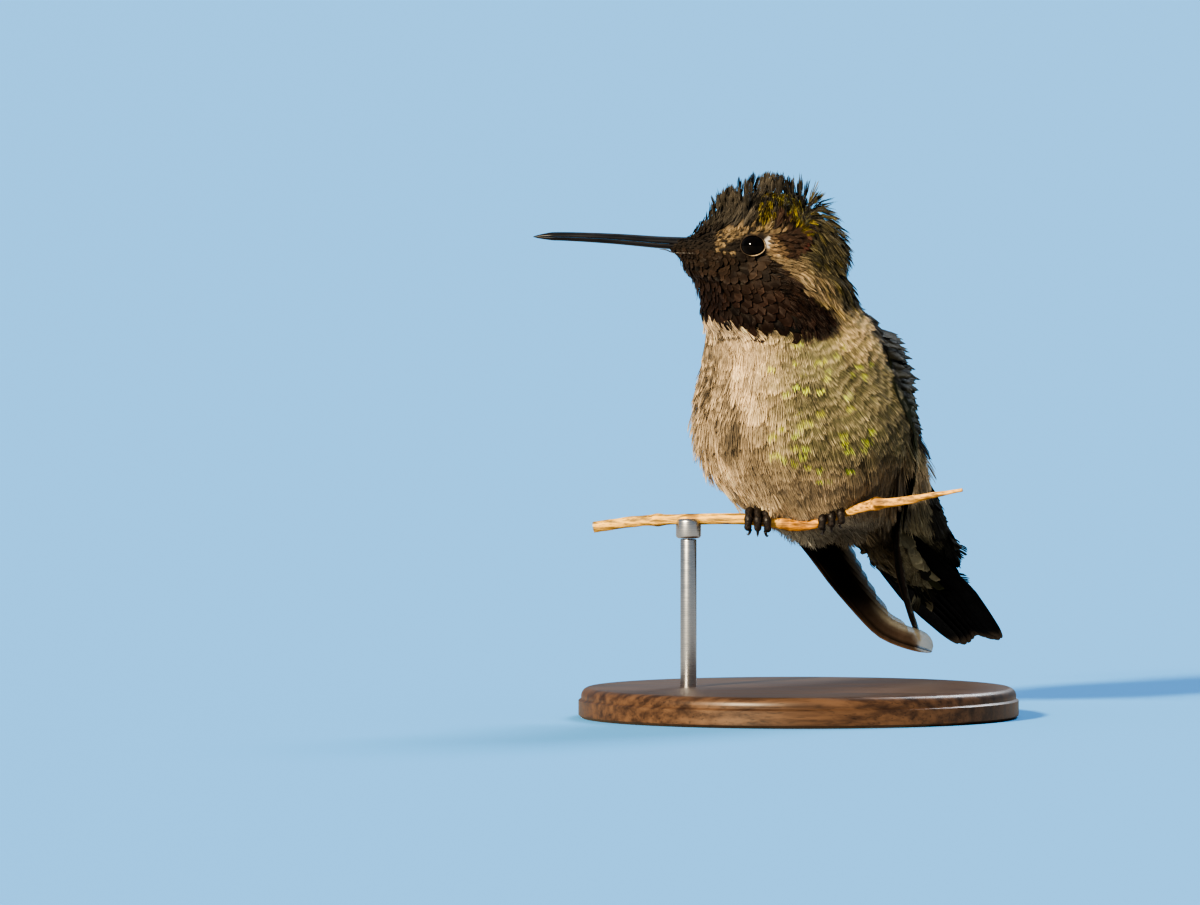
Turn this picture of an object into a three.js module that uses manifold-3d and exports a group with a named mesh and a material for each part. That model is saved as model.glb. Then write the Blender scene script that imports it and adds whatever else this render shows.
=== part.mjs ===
// A perched male hummingbird at life size, on a cut length of twig held by a plain display stand.
// Millimetres, +Z up. The origin is the middle of the stand's underside; the bill points along -X.
import * as THREE from 'three';
import { mergeVertices } from 'three/addons/utils/BufferGeometryUtils.js';
import Module from 'manifold-3d';

const wasm = await Module();
wasm.setup();

// Driving dimensions
const GAP = 0.1;                    // clearance left where one piece is cut by its neighbour
const ROOM = 0.2;                   // clearance round the wing blades, which lie in the loose plumage
const BODY_TURN = Math.PI / 6;      // the breast faces this far round from -Y towards -X
const FOOT_X = -0.7;                // middle of the two feet along the twig
const HEAD_CENTRE = new THREE.Vector3(-4.6, -4, 61.6);
const HEAD_HALF_WIDTH = 8.2;
const FACE_NARROWING = 0.055;        // share of its width that the face loses with each millimetre forward
const EYE_RADIUS = 1.62;
const EYE_SPOT = { x: -6.1, aside: 6.994, z: 62.3 };
const BILL_TIP = new THREE.Vector3(-35, -4, 63.4);
const BILL_ROOT = new THREE.Vector3(-12.7, -4, 62.3);
const BILL_HALF = 1.0;              // half the bill's thickness at its hidden root
const BILL_THINNING = 0.42;         // half thickness lost on the way to the tip
const BILL_POINT = 1 / 7;           // share of the bill over which it comes to its point
const TAIL_THICKNESS = 0.8;
const TAIL_TILT = 0.14;             // the tail's left edge is held a little higher than its right
const LEG_RADIUS = { thigh: 1.15, ankle: 0.5 };
const TOE_RADIUS = 0.36;
const CLAW_RADIUS = 0.27;
const BASE_RADIUS = 29;
const BASE_HEIGHT = 4;
const BASE_LIP = 0.6;
const ROD_RADIUS = 1.1;
const ROD_X = -14.5;
const SOCKET_DEPTH = 2.2;
const SADDLE_RADIUS = 1.7;
const SADDLE_HEIGHT = 2.5;

const FINISHES = {
  crown: { color: 0x3a332a, roughness: 0.8 },
  face: { color: 0x2a211b, roughness: 0.8 },
  gorget: { color: 0x2c1c1a, roughness: 0.45 },
  nape: { color: 0x3b3a22, roughness: 0.8 },
  breast: { color: 0x9a8f74, roughness: 0.8 },
  back: { color: 0x4a4a2c, roughness: 0.8 },
  coverts: { color: 0x6b6454, roughness: 0.8 },
  flight: { color: 0x1d1b1a, roughness: 0.55 },
  bill: { color: 0x15151a, roughness: 0.4 },
  eye: { color: 0x060505, roughness: 0.1 },
  toe: { color: 0x1c1613, roughness: 0.7 },
  claw: { color: 0x0f0d0c, roughness: 0.35 },
  wood: { color: 0xb98a4e, roughness: 0.75 },
  metal: { color: 0x8d8f92, roughness: 0.35, metalness: 0.9 },
  base: { color: 0x5a4232, roughness: 0.5 },
};

const model = new THREE.Group();

// Turns a place told in the bird's own terms (behind the feet, to its left, above the floor) into X, Y, Z.
function place(back, left, height) {
  const sine = Math.sin(BODY_TURN);
  const cosine = Math.cos(BODY_TURN);
  return new THREE.Vector3(FOOT_X + back * sine + left * cosine, back * cosine - left * sine, height);
}

// Reads a table of stations [key, value, value...] at a key, easing smoothly from row to row.
function station(rows, key) {
  const last = rows.length - 1;
  let row = 0;
  while (row < last - 1 && key > rows[row + 1][0]) row++;
  const share = THREE.MathUtils.clamp((key - rows[row][0]) / (rows[row + 1][0] - rows[row][0]), 0, 1);
  const before = rows[Math.max(row - 1, 0)];
  const after = rows[Math.min(row + 2, last)];
  return rows[row].slice(1).map((value, index) => {
    const next = rows[row + 1][index + 1];
    const rise = (next - before[index + 1]) / 2;
    const fall = (after[index + 1] - value) / 2;
    return hermite(value, next, rise, fall, share);
  });
}

function hermite(from, to, rise, fall, share) {
  const square = share * share;
  const cube = square * share;
  return from * (2 * cube - 3 * square + 1) + to * (3 * square - 2 * cube)
    + rise * (cube - 2 * square + share) + fall * (cube - square);
}

// Closed form over a sphere's grid: spot(turn, run) gives the point at a share of a turn round the form
// and a share of the way along it, and each end closes to one point.
function closedForm(around, along, spot) {
  const form = new THREE.SphereGeometry(1, around, along);
  const points = form.attributes.position;
  for (let row = 0; row <= along; row++) {
    for (let column = 0; column <= around; column++) {
      const point = spot((column % around) / around, row / along);
      points.setXYZ(row * (around + 1) + column, point.x, point.y, point.z);
    }
  }
  return facesOut(form);
}

function facesOut(form) {
  const points = form.attributes.position;
  const index = form.index.array;
  const corners = [new THREE.Vector3(), new THREE.Vector3(), new THREE.Vector3()];
  let volume = 0;
  for (let face = 0; face < index.length; face += 3) {
    corners.forEach((corner, side) => corner.fromBufferAttribute(points, index[face + side]));
    volume += corners[0].dot(corners[1].clone().cross(corners[2]));
  }
  if (volume < 0) {
    for (let face = 0; face < index.length; face += 3) {
      [index[face + 1], index[face + 2]] = [index[face + 2], index[face + 1]];
    }
  }
  return form;
}

// Rows crowd towards both ends, so that the ends are round.
function ease(run) {
  return (1 - Math.cos(Math.PI * run)) / 2;
}

// A rod, toe or twig: round sections along a curve, with radius(share) for its thickness.
function roundForm(curve, around, along, radius) {
  const side = new THREE.Vector3();
  const up = new THREE.Vector3();
  const pole = new THREE.Vector3(0.03, 1, 0.02).normalize();
  return closedForm(around, along, (turn, run) => {
    const share = ease(run);
    const tangent = curve.getTangentAt(share);
    side.crossVectors(tangent, pole).normalize();
    up.crossVectors(side, tangent);
    const angle = turn * Math.PI * 2;
    const reach = run === 0 || run === 1 ? 0 : radius(share);
    return curve.getPointAt(share)
      .addScaledVector(side, Math.cos(angle) * reach)
      .addScaledVector(up, Math.sin(angle) * reach);
  });
}

function asSolid(form) {
  const bare = form.clone();
  bare.deleteAttribute('normal');
  bare.deleteAttribute('uv');
  const merged = mergeVertices(bare, 1e-5);
  const mesh = new wasm.Mesh({
    numProp: 3,
    vertProperties: new Float32Array(merged.attributes.position.array),
    triVerts: new Uint32Array(merged.index.array),
  });
  return new wasm.Manifold(mesh);
}

function asGeometry(solid) {
  const mesh = solid.getMesh();
  const geometry = new THREE.BufferGeometry();
  geometry.setAttribute('position', new THREE.BufferAttribute(mesh.vertProperties, 3));
  geometry.setIndex(new THREE.BufferAttribute(mesh.triVerts, 1));
  geometry.computeVertexNormals();
  return geometry;
}

// The largest piece of a cut solid, without the crumbs that a cut can leave.
function largest(solid) {
  return solid.decompose().reduce((best, piece) => (piece.volume() > best.volume() ? piece : best));
}

function addNode(name, solid, finish) {
  const mesh = new THREE.Mesh(asGeometry(largest(solid)), new THREE.MeshStandardMaterial(FINISHES[finish]));
  mesh.name = name;
  model.add(mesh);
}

// Keeps what lies on the side of a plane that its normal points to, half a gap clear of the plane.
function beyond(solid, point, normal) {
  const direction = normal.clone().normalize();
  return solid.trimByPlane(direction.toArray(), direction.dot(point) + GAP / 2);
}

// Parts a solid in two along a plane through a point.
function partInTwo(solid, point, normal) {
  return [beyond(solid, point, normal), beyond(solid, point, normal.clone().negate())];
}

// Trunk: level slices up the body. Each row: height, middle behind the feet, middle to the left,
// half length, half width. The loose belly feathers hang a little to the bird's right.
const TRUNK = [
  [22.4, 9.8, -0.3, 0, 0],
  [23.3, 9.4, -0.5, 5.2, 4.0],
  [25.0, 9.0, -1.0, 8.5, 7.0],
  [27.0, 8.6, -1.4, 10.3, 9.3],
  [28.5, 8.2, -1.5, 12.0, 10.9],
  [31.0, 6.8, -0.8, 14.8, 12.8],
  [34.0, 5.4, -0.1, 16.0, 14.3],
  [37.0, 4.5, 0.2, 15.9, 15.3],
  [40.0, 4.1, 0.3, 15.4, 15.6],
  [45.0, 2.9, 0.3, 13.4, 14.4],
  [48.0, 1.7, 0.2, 12.0, 13.2],
  [51.5, 1.0, 0.0, 10.8, 11.8],
  [54.5, -0.4, 0, 8.0, 8.8],
  [56.5, -1.5, 0, 0, 0],
];
const EGG = 0.1;                    // how much fuller each slice is at the breast than at the back

function trunkForm() {
  const bottom = TRUNK[0][0];
  const top = TRUNK[TRUNK.length - 1][0];
  return closedForm(22, 15, (turn, run) => {
    const height = bottom + (top - bottom) * ease(run);
    const [middle, aside, length, width] = station(TRUNK, height);
    const angle = turn * Math.PI * 2;
    const back = middle - Math.max(length, 0) * Math.cos(angle);
    const left = aside + Math.max(width, 0) * Math.sin(angle) * (1 + EGG * Math.cos(angle));
    return place(back, left, height);
  });
}

// Neck: level oval slices. Each row: height, middle X, middle Y, half length along X, half width along Y.
const NECK = [
  [48.8, -1.5, -2.0, 0, 0],
  [50.2, -1.6, -2.2, 9.9, 8.2],
  [52.5, -1.9, -2.6, 10.7, 8.9],
  [56.0, -3.2, -3.4, 10.3, 8.7],
  [60.0, -4.2, -4.0, 9.8, 8.3],
  [63.5, -4.6, -4.0, 0, 0],
];

function neckForm() {
  const bottom = NECK[0][0];
  const top = NECK[NECK.length - 1][0];
  return closedForm(18, 7, (turn, run) => {
    const height = bottom + (top - bottom) * ease(run);
    const [x, y, length, width] = station(NECK, height);
    const angle = turn * Math.PI * 2;
    return new THREE.Vector3(
      x + Math.max(length, 0) * Math.cos(angle), y + Math.max(width, 0) * Math.sin(angle), height);
  });
}

// Head: its side outline, told as the reach from the head's centre at each bearing.
// Bearing 0 is towards the nape, 90 the top of the crown, 180 the bill and 270 the throat.
const HEAD_OUTLINE = [
  [0, 12.1],
  [14, 11.5],
  [26, 11.0],
  [37, 10.1],
  [57, 10.3],
  [75, 10.15],
  [92, 10.25],
  [112, 10.15],
  [130, 9.65],
  [150, 9.45],
  [160, 9.9],
  [168, 11.3],
  [176, 12.7],
  [184, 11.4],
  [194, 10.7],
  [212, 10.4],
  [230, 10.4],
  [270, 9.5],
  [315, 10.5],
  [345, 11.8],
  [360, 12.1],
];

function headForm() {
  return closedForm(34, 9, (turn, run) => {
    const bearing = turn * 360;
    const [reach] = station(HEAD_OUTLINE, bearing);
    const slope = Math.PI * (run - 0.5);
    const out = Math.cos(slope) * reach;
    const x = Math.cos(bearing * Math.PI / 180) * out;
    const z = Math.sin(bearing * Math.PI / 180) * out;
    const narrowing = 1 - FACE_NARROWING * Math.max(-x - 2, 0);
    const y = Math.sin(slope) * HEAD_HALF_WIDTH * narrowing;
    return new THREE.Vector3(HEAD_CENTRE.x + x, HEAD_CENTRE.y + y, HEAD_CENTRE.z + z);
  });
}

// Rump and both sets of tail coverts: flattened forms that run down to the tail.
// Each row: share of the way, half width, half thickness.
const RUMP_SHAPE = [
  [0, 0, 0],
  [0.12, 6.0, 3.6],
  [0.35, 8.6, 4.6],
  [0.62, 7.3, 3.0],
  [0.85, 5.4, 1.5],
  [1, 0, 0],
];
const UNDERTAIL_SHAPE = [
  [0, 0, 0],
  [0.12, 3.4, 2.6],
  [0.4, 4.4, 3.0],
  [0.75, 3.4, 1.7],
  [0.92, 2.2, 0.9],
  [1, 0, 0],
];

function flatForm(curve, shape, around, along) {
  return closedForm(around, along, (turn, run) => {
    const share = ease(run);
    const tangent = curve.getTangentAt(share);
    const across = place(0, Math.cos(TAIL_TILT), Math.sin(TAIL_TILT)).sub(place(0, 0, 0)).normalize();
    const over = new THREE.Vector3().crossVectors(tangent, across).normalize();
    if (over.z < 0) over.negate();
    const [width, thickness] = station(shape, share);
    const angle = turn * Math.PI * 2;
    return curve.getPointAt(share)
      .addScaledVector(across, Math.cos(angle) * Math.max(width, 0))
      .addScaledVector(over, Math.sin(angle) * Math.max(thickness, 0));
  });
}

function pathOf(...spots) {
  return new THREE.CatmullRomCurve3(spots.map((spot) => place(...spot)));
}

const rumpPath = pathOf([11, 0.4, 36.5], [19, 0.9, 30.5], [26, 1.3, 24.6], [37.5, 1.5, 16.2]);
const undertailPath = pathOf([10, 0.8, 26.2], [18, 1, 23.6], [26, 1.2, 20], [34, 1.4, 15.3]);

// Tail halves: five feathers each, told as one stepped blade beside the midline.
const TAIL_PATH_MID = [[16, 0.8, 27.6], [24, 1.1, 22.7], [34, 1.4, 16.5], [46.9, 1.5, 8.5]];
const TAIL_SPREAD = [1.8, 2.8, 3.2, 2.0];   // each half's distance from the midline at those spots
const TAIL_SHAPE = [
  [0, 0],
  [0.06, 1.6],
  [0.3, 2.8],
  [0.6, 3.1],
  [0.85, 2.6],
  [0.96, 1.6],
  [1, 0],
];

function tailHalf(side, swell) {
  const spots = TAIL_PATH_MID.map(([back, left, height], index) => {
    const across = side * (TAIL_SPREAD[index] + GAP);
    return [back, left + across * Math.cos(TAIL_TILT), height + across * Math.sin(TAIL_TILT)];
  });
  const path = pathOf(...spots);
  const shape = TAIL_SHAPE.map(([share, width]) => {
    const full = share > 0 && share < 1 ? 1 : 0;
    return [share, width + full * swell, full * (TAIL_THICKNESS / 2 + swell)];
  });
  return flatForm(path, shape, 6, 13);
}

// Wings: blades along the side of the body that cross under the tail. Spots: behind, left, height.
const WING_ROOT = [[0.5, 13.9, 46.2], [5.5, 14.0, 40], [10, 12.2, 33.8]];
const WING_END = {
  right: [[14, -9.4, 28.2], [17.6, -6.2, 22.7], [21, -2.5, 16.8], [30.6, 3.0, 7.8]],
  left: [[14, 8.5, 28.2], [18.2, 5.3, 22.7], [26.6, 1.7, 16.5], [38.4, -2.9, 8.2]],
};
// Each row: share of the way, half thickness, reach of the leading edge, reach of the trailing edge.
const PRIMARY_SHAPE = [
  [0, 0, 0, 0],
  [0.04, 0.9, 1.7, 2.0],
  [0.2, 1.05, 3.2, 4.2],
  [0.45, 0.8, 2.9, 3.9],
  [0.65, 0.55, 3.1, 3.2],
  [0.85, 0.45, 2.6, 2.5],
  [0.96, 0.4, 1.3, 1.8],
  [1, 0, 0, 0],
];
const FEATHER_STEPS = 7;            // feather ends that show as steps along the trailing edge
const STEP_DEPTH = 0.55;
const COVERT_SPAN = { from: 0, to: 0.32 };     // shares of the wing's path that the layers over it cover
const SECONDARY_SPAN = { from: 0.1, to: 0.5 };
const WHOLE_SPAN = { from: 0, to: 1 };

function wingPath(side) {
  const sign = side === 'left' ? 1 : -1;
  const near = WING_ROOT.map(([back, left, height]) => [back, sign * left, height]);
  return pathOf(...near, ...WING_END[side]);
}

function wingFrame(path, share, side) {
  const sign = side === 'left' ? 1 : -1;
  const tangent = path.getTangentAt(share);
  const outward = place(0.5, sign * Math.cos(BODY_TURN), 0).sub(place(0, 0, 0));
  const trailing = new THREE.Vector3().crossVectors(tangent, outward).normalize();
  if (trailing.y < 0) trailing.negate();
  const out = new THREE.Vector3().crossVectors(tangent, trailing).normalize();
  if (out.dot(outward) < 0) out.negate();
  return { trailing, out };
}

function wingBlade(side, shape, { from, to }, around, along, options = {}) {
  const { swell = 0, lift = 0, shift = 0, steps = 0 } = options;
  const path = wingPath(side);
  return closedForm(around, along, (turn, run) => {
    const local = ease(run);
    const share = from + (to - from) * local;
    const { trailing, out } = wingFrame(path, share, side);
    const [thickness, leadReach, trailReach] = station(shape, local);
    const full = run === 0 || run === 1 ? 0 : 1;
    const angle = turn * Math.PI * 2;
    const stepShare = (local * steps) % 1;
    const notch = steps > 0 && local > 0.35 && local < 0.97 ? STEP_DEPTH * (1 - stepShare) : 0;
    const reach = Math.cos(angle) > 0 ? Math.max(trailReach - notch, 0) : Math.max(leadReach, 0);
    const across = full * (reach + swell) * Math.cos(angle);
    const depth = full * (Math.max(thickness, 0) + swell) * Math.sin(angle);
    return path.getPointAt(share)
      .addScaledVector(trailing, shift + across)
      .addScaledVector(out, lift + depth);
  });
}

// Room that a blade takes up in the body, a little larger than the blade all round.
function wingRoom(side, shape, span, around, options = {}) {
  const along = Math.round(5 + 13 * (span.to - span.from));
  return asSolid(wingBlade(side, shape, span, around, along, { ...options, swell: ROOM }));
}

const COVERT_SHAPE = [
  [0, 0, 0, 0],
  [0.15, 1.0, 2.4, 3.2],
  [0.5, 1.1, 3.4, 5.0],
  [0.85, 0.7, 2.4, 3.4],
  [1, 0, 0, 0],
];
const SECONDARY_SHAPE = [
  [0, 0, 0, 0],
  [0.15, 0.6, 1.8, 2.4],
  [0.5, 0.6, 2.2, 3.2],
  [0.85, 0.4, 1.5, 2.2],
  [1, 0, 0, 0],
];

const COVERT_PLACE = { lift: 1.3, shift: 0.8 };
const SECONDARY_PLACE = { lift: 0.9, shift: 4.4 };

function wing(side) {
  const coverts = asSolid(wingBlade(side, COVERT_SHAPE, COVERT_SPAN, 8, 9, COVERT_PLACE));
  const covertRoom = wingRoom(side, COVERT_SHAPE, COVERT_SPAN, 8, COVERT_PLACE);
  const inner = asSolid(wingBlade(side, SECONDARY_SHAPE, SECONDARY_SPAN, 6, 10, SECONDARY_PLACE));
  const innerRoom = wingRoom(side, SECONDARY_SHAPE, SECONDARY_SPAN, 6, SECONDARY_PLACE);
  const blade = asSolid(wingBlade(side, PRIMARY_SHAPE, WHOLE_SPAN, 6, 26, { steps: FEATHER_STEPS }));
  return {
    coverts,
    secondaries: inner.subtract(covertRoom),
    primaries: blade.subtract(covertRoom).subtract(innerRoom),
    rooms: [covertRoom, innerRoom, wingRoom(side, PRIMARY_SHAPE, WHOLE_SPAN, 6)],
  };
}

// Bill: two long tapered halves that meet along the mouth line.
const billPath = new THREE.CatmullRomCurve3([
  BILL_ROOT,
  new THREE.Vector3(-18, -4, 62.55),
  new THREE.Vector3(-24.5, -4, 63.05),
  new THREE.Vector3(-31, -4, 63.4),
  BILL_TIP,
]);

function billHalf(sign) {
  return closedForm(10, 10, (turn, run) => {
    const share = ease(run);
    const taper = run === 0 || run === 1 ? 0 : 1;
    const half = (BILL_HALF - BILL_THINNING * share) * Math.min(1, (1 - share) / BILL_POINT);
    const angle = turn * Math.PI * 2;
    const rise = Math.sin(angle) * sign > 0 ? Math.abs(Math.sin(angle)) * half * 0.94 : 0;
    const spot = billPath.getPointAt(share);
    spot.y += taper * half * 0.95 * Math.cos(angle);
    spot.z += sign * (GAP / 4 + taper * rise);
    return spot;
  });
}

// Room for the root of both halves in the face.
function billRoom() {
  const root = new THREE.CatmullRomCurve3([0, 0.1, 0.2, 0.3].map((share) => billPath.getPointAt(share)));
  return asSolid(roundForm(root, 10, 6, () => BILL_HALF + GAP * 1.5));
}

function eyeSpot(sign) {
  return new THREE.Vector3(EYE_SPOT.x, HEAD_CENTRE.y + sign * EYE_SPOT.aside, EYE_SPOT.z);
}

function ball(centre, radius) {
  const form = new THREE.SphereGeometry(radius, 10, 7);
  form.translate(centre.x, centre.y, centre.z);
  return asSolid(form);
}

// Twig: centre line and radius along it. It thins where the bark has frayed, and ends in a point.
const twigPath = new THREE.CatmullRomCurve3([
  [-27, 2.4, 25.0],
  [-20, 1.2, 25.9],
  [-13, 0.4, 26.1],
  [-7, 0, 26.1],
  [-2, 0, 25.5],
  [1, -0.1, 25.3],
  [5.5, -1.0, 26.8],
  [9.5, -2.8, 28.1],
  [13.3, -4.2, 28.6],
  [17.2, -5.2, 29.4],
  [21.4, -6.2, 30.2],
].map((spot) => new THREE.Vector3(...spot)));
const TWIG_SHAPE = [
  [0, 0.72],
  [0.42, 0.74],
  [0.55, 0.66],
  [0.66, 0.48],
  [0.74, 0.66],
  [0.88, 0.5],
  [1, 0.26],
];
const KNOT_WIDTH = 0.02;
const KNOTS = [{ at: 0.17, size: 0.25 }, { at: 0.765, size: 0.34 }];

function twigForm(swell = 0) {
  return roundForm(twigPath, 6, 30, (share) => {
    const swelling = (knot) => knot.size * Math.exp(-(((share - knot.at) / KNOT_WIDTH) ** 2));
    const knots = KNOTS.reduce((sum, knot) => sum + swelling(knot), 0);
    return station(TWIG_SHAPE, share)[0] + knots + swell;
  });
}

function twigSpot(x) {
  let low = 0;
  let high = 1;
  for (let step = 0; step < 24; step++) {
    const middle = (low + high) / 2;
    if (twigPath.getPointAt(middle).x < x) low = middle;
    else high = middle;
  }
  return { share: low, point: twigPath.getPointAt(low) };
}

// Feet: three toes over the front of the twig and one behind, each with its claw.
const FEET = { right: { x: -5.4, spacing: 1.05 }, left: { x: 4.3, spacing: 1.0 } };
const TOE_DROP = 0.9;               // how much further the toes reach below the twig than round it
const FRONT_TOE = { from: 75, to: -30 };
const FRONT_CLAW = { from: -38, to: -105 };
const BACK_TOE = { from: 105, to: 200 };
const BACK_CLAW = { from: 208, to: 262 };

// An arc round the twig in the plane across it: angle 90 is its top and 0 the side towards -Y.
function wrapPath(centre, reach, { from, to }) {
  const spots = [];
  for (let step = 0; step <= 6; step++) {
    const angle = THREE.MathUtils.degToRad(from + (to - from) * step / 6);
    const drop = Math.min(Math.sin(angle), 0) * TOE_DROP;
    spots.push(new THREE.Vector3(
      centre.x, centre.y - Math.cos(angle) * reach, centre.z + Math.sin(angle) * reach + drop));
  }
  return new THREE.CatmullRomCurve3(spots);
}

function toes(side) {
  const foot = FEET[side];
  const made = [];
  for (const [name, steps] of Object.entries({ inner: -1, middle: 0, outer: 1, hind: 0 })) {
    const { share, point } = twigSpot(foot.x + steps * foot.spacing);
    const reach = station(TWIG_SHAPE, share)[0] + TOE_RADIUS + GAP;
    const toePath = wrapPath(point, reach, name === 'hind' ? BACK_TOE : FRONT_TOE);
    const clawPath = wrapPath(point, reach, name === 'hind' ? BACK_CLAW : FRONT_CLAW);
    const toeSolid = asSolid(roundForm(toePath, 6, 6, () => TOE_RADIUS));
    const clawSolid = asSolid(roundForm(clawPath, 5, 5, (way) => CLAW_RADIUS * (1.05 - way)));
    const toeRoom = asSolid(roundForm(toePath, 6, 6, () => TOE_RADIUS + GAP));
    const clawRoom = asSolid(roundForm(clawPath, 5, 5, (way) => CLAW_RADIUS * (1.05 - way) + GAP));
    made.push({ name: `${side}_${name}`, toeSolid, clawSolid, room: toeRoom.add(clawRoom) });
  }
  return made;
}

function legForm(side) {
  const sign = side === 'left' ? 1 : -1;
  const { point } = twigSpot(FEET[side].x);
  const top = new THREE.Vector3(point.x - sign * 0.6, point.y + 4.6, point.z + 6.4);
  const foot = new THREE.Vector3(point.x, point.y + 0.2, point.z + 0.85);
  const leg = new THREE.CatmullRomCurve3([top, top.clone().lerp(foot, 0.5), foot]);
  const radius = (share) => THREE.MathUtils.lerp(LEG_RADIUS.thigh, LEG_RADIUS.ankle, share);
  return (swell) => asSolid(roundForm(leg, 7, 5, (share) => radius(share) + swell));
}

const rodSpot = twigSpot(ROD_X).point;

// Stand: turned base, one rod and the small saddle that holds the twig.
function baseForm() {
  const profile = [
    [0, 0],
    [BASE_RADIUS - BASE_LIP, 0],
    [BASE_RADIUS, BASE_LIP],
    [BASE_RADIUS, BASE_HEIGHT * 0.5],
    [BASE_RADIUS - 1.6, BASE_HEIGHT * 0.78],
    [BASE_RADIUS - 2.6, BASE_HEIGHT],
    [0, BASE_HEIGHT],
  ].map(([across, up]) => new THREE.Vector2(across, up));
  const form = new THREE.LatheGeometry(profile, 28);
  form.rotateX(Math.PI / 2);
  return facesOut(form);
}

function pillar(radius, low, high) {
  const form = new THREE.CylinderGeometry(radius, radius, high - low, 14);
  form.rotateX(Math.PI / 2);
  form.translate(ROD_X, rodSpot.y, (low + high) / 2);
  return asSolid(form);
}

// Body: one whole form, cleared for the pieces set in it and parted with thin cuts.
const wings = { left: wing('left'), right: wing('right') };
const legs = { left: legForm('left'), right: legForm('right') };
const feet = [...toes('left'), ...toes('right')];
const bill = { upper: asSolid(billHalf(1)), lower: asSolid(billHalf(-1)) };
const eyes = { left: ball(eyeSpot(-1), EYE_RADIUS), right: ball(eyeSpot(1), EYE_RADIUS) };
const twig = asSolid(twigForm());
const tails = { left: asSolid(tailHalf(1, 0)), right: asSolid(tailHalf(-1, 0)) };
const tailRooms = [asSolid(tailHalf(1, GAP)), asSolid(tailHalf(-1, GAP))];

const settings = [
  billRoom(),
  ball(eyeSpot(-1), EYE_RADIUS + GAP),
  ball(eyeSpot(1), EYE_RADIUS + GAP),
  ...tailRooms,
  legs.left(GAP),
  legs.right(GAP),
  ...wings.left.rooms,
  ...wings.right.rooms,
];
const footRoom = feet.map(({ room }) => room);
const twigRoom = asSolid(twigForm(GAP));

function clear(solid, rooms) {
  return rooms.reduce((rest, room) => rest.subtract(room), solid);
}

const bodyWhole = asSolid(trunkForm())
  .add(asSolid(neckForm()))
  .add(asSolid(headForm()))
  .add(asSolid(flatForm(rumpPath, RUMP_SHAPE, 12, 10)))
  .add(asSolid(flatForm(undertailPath, UNDERTAIL_SHAPE, 10, 8)));
const body = clear(bodyWhole, [...settings, ...footRoom, twigRoom]);

// Each cut: a point of its plane, then the way the first of the two pieces lies.
const direction = (x, y, z) => new THREE.Vector3(x, y, z);
const shoulders = direction(-2, 0, 49.9);
const [upper, lower] = partInTwo(body, shoulders, direction(0.1, 0, 1));
const [headWhole, throat] = partInTwo(upper, direction(-16.5, -4, 60.9), direction(0.3, 0, 1));
const [neckPart, gorgetPart] = partInTwo(throat, direction(2.2, 0, 55), direction(1, 0.35, 0));
const [crownWhole, facePart] = partInTwo(headWhole, direction(-16, -4, 64.6), direction(-0.03, 0, 1));
const [napeUpper, crownPart] = partInTwo(crownWhole, direction(1.4, 0, 66), direction(1, 0, -0.2));
const [tailRoot, trunkWhole] = partInTwo(lower, place(19.5, 0, 27), direction(0.45, 0.78, -0.42));
const [backPart, front] = partInTwo(trunkWhole, place(9, 0, 38), direction(0.45, 0.78, 0.45));
const [breastPart, bellyPart] = partInTwo(front, place(0, 0, 36.5), direction(0, 0, 1));
const [rumpPart, undertailPart] = partInTwo(tailRoot, place(24, 1, 22.6), direction(0.27, 0.47, 0.84));

addNode('head_crown', crownPart, 'crown');
addNode('head_face', facePart, 'face');
addNode('head_nape', napeUpper, 'nape');
addNode('gorget', gorgetPart, 'gorget');
addNode('neck', neckPart, 'nape');
addNode('breast', breastPart, 'breast');
addNode('belly', bellyPart, 'breast');
addNode('back', backPart, 'back');
addNode('rump', rumpPart, 'back');
addNode('undertail_coverts', undertailPart, 'coverts');
addNode('bill_upper', bill.upper, 'bill');
addNode('bill_lower', bill.lower, 'bill');
for (const side of ['left', 'right']) {
  addNode(`eye_${side}`, eyes[side], 'eye');
  addNode(`wing_${side}_coverts`, wings[side].coverts, 'back');
  addNode(`wing_${side}_primaries`, clear(wings[side].primaries, tailRooms), 'flight');
  addNode(`wing_${side}_secondaries`, wings[side].secondaries, 'flight');
  addNode(`tail_${side}`, tails[side], 'flight');
  addNode(`leg_${side}`, clear(legs[side](0), [...footRoom, twigRoom]), 'toe');
}
for (const { name, toeSolid, clawSolid } of feet) {
  addNode(`toe_${name}`, toeSolid, 'toe');
  addNode(`claw_${name}`, clawSolid, 'claw');
}
addNode('perch_twig', twig, 'wood');
const socket = pillar(ROD_RADIUS + GAP, BASE_HEIGHT - SOCKET_DEPTH, 2 * BASE_HEIGHT);
const rod = pillar(ROD_RADIUS, BASE_HEIGHT - SOCKET_DEPTH + GAP, rodSpot.z - SADDLE_HEIGHT - GAP);
const saddle = pillar(SADDLE_RADIUS, rodSpot.z - SADDLE_HEIGHT, rodSpot.z + GAP);
addNode('stand_base', asSolid(baseForm()).subtract(socket), 'base');
addNode('stand_rod', rod, 'metal');
addNode('stand_saddle', saddle.subtract(twigRoom), 'metal');

export default model;
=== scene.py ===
import math

import bmesh
import bpy
import numpy as np
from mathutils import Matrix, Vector
from mathutils.bvhtree import BVHTree
from mathutils.kdtree import KDTree


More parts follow.
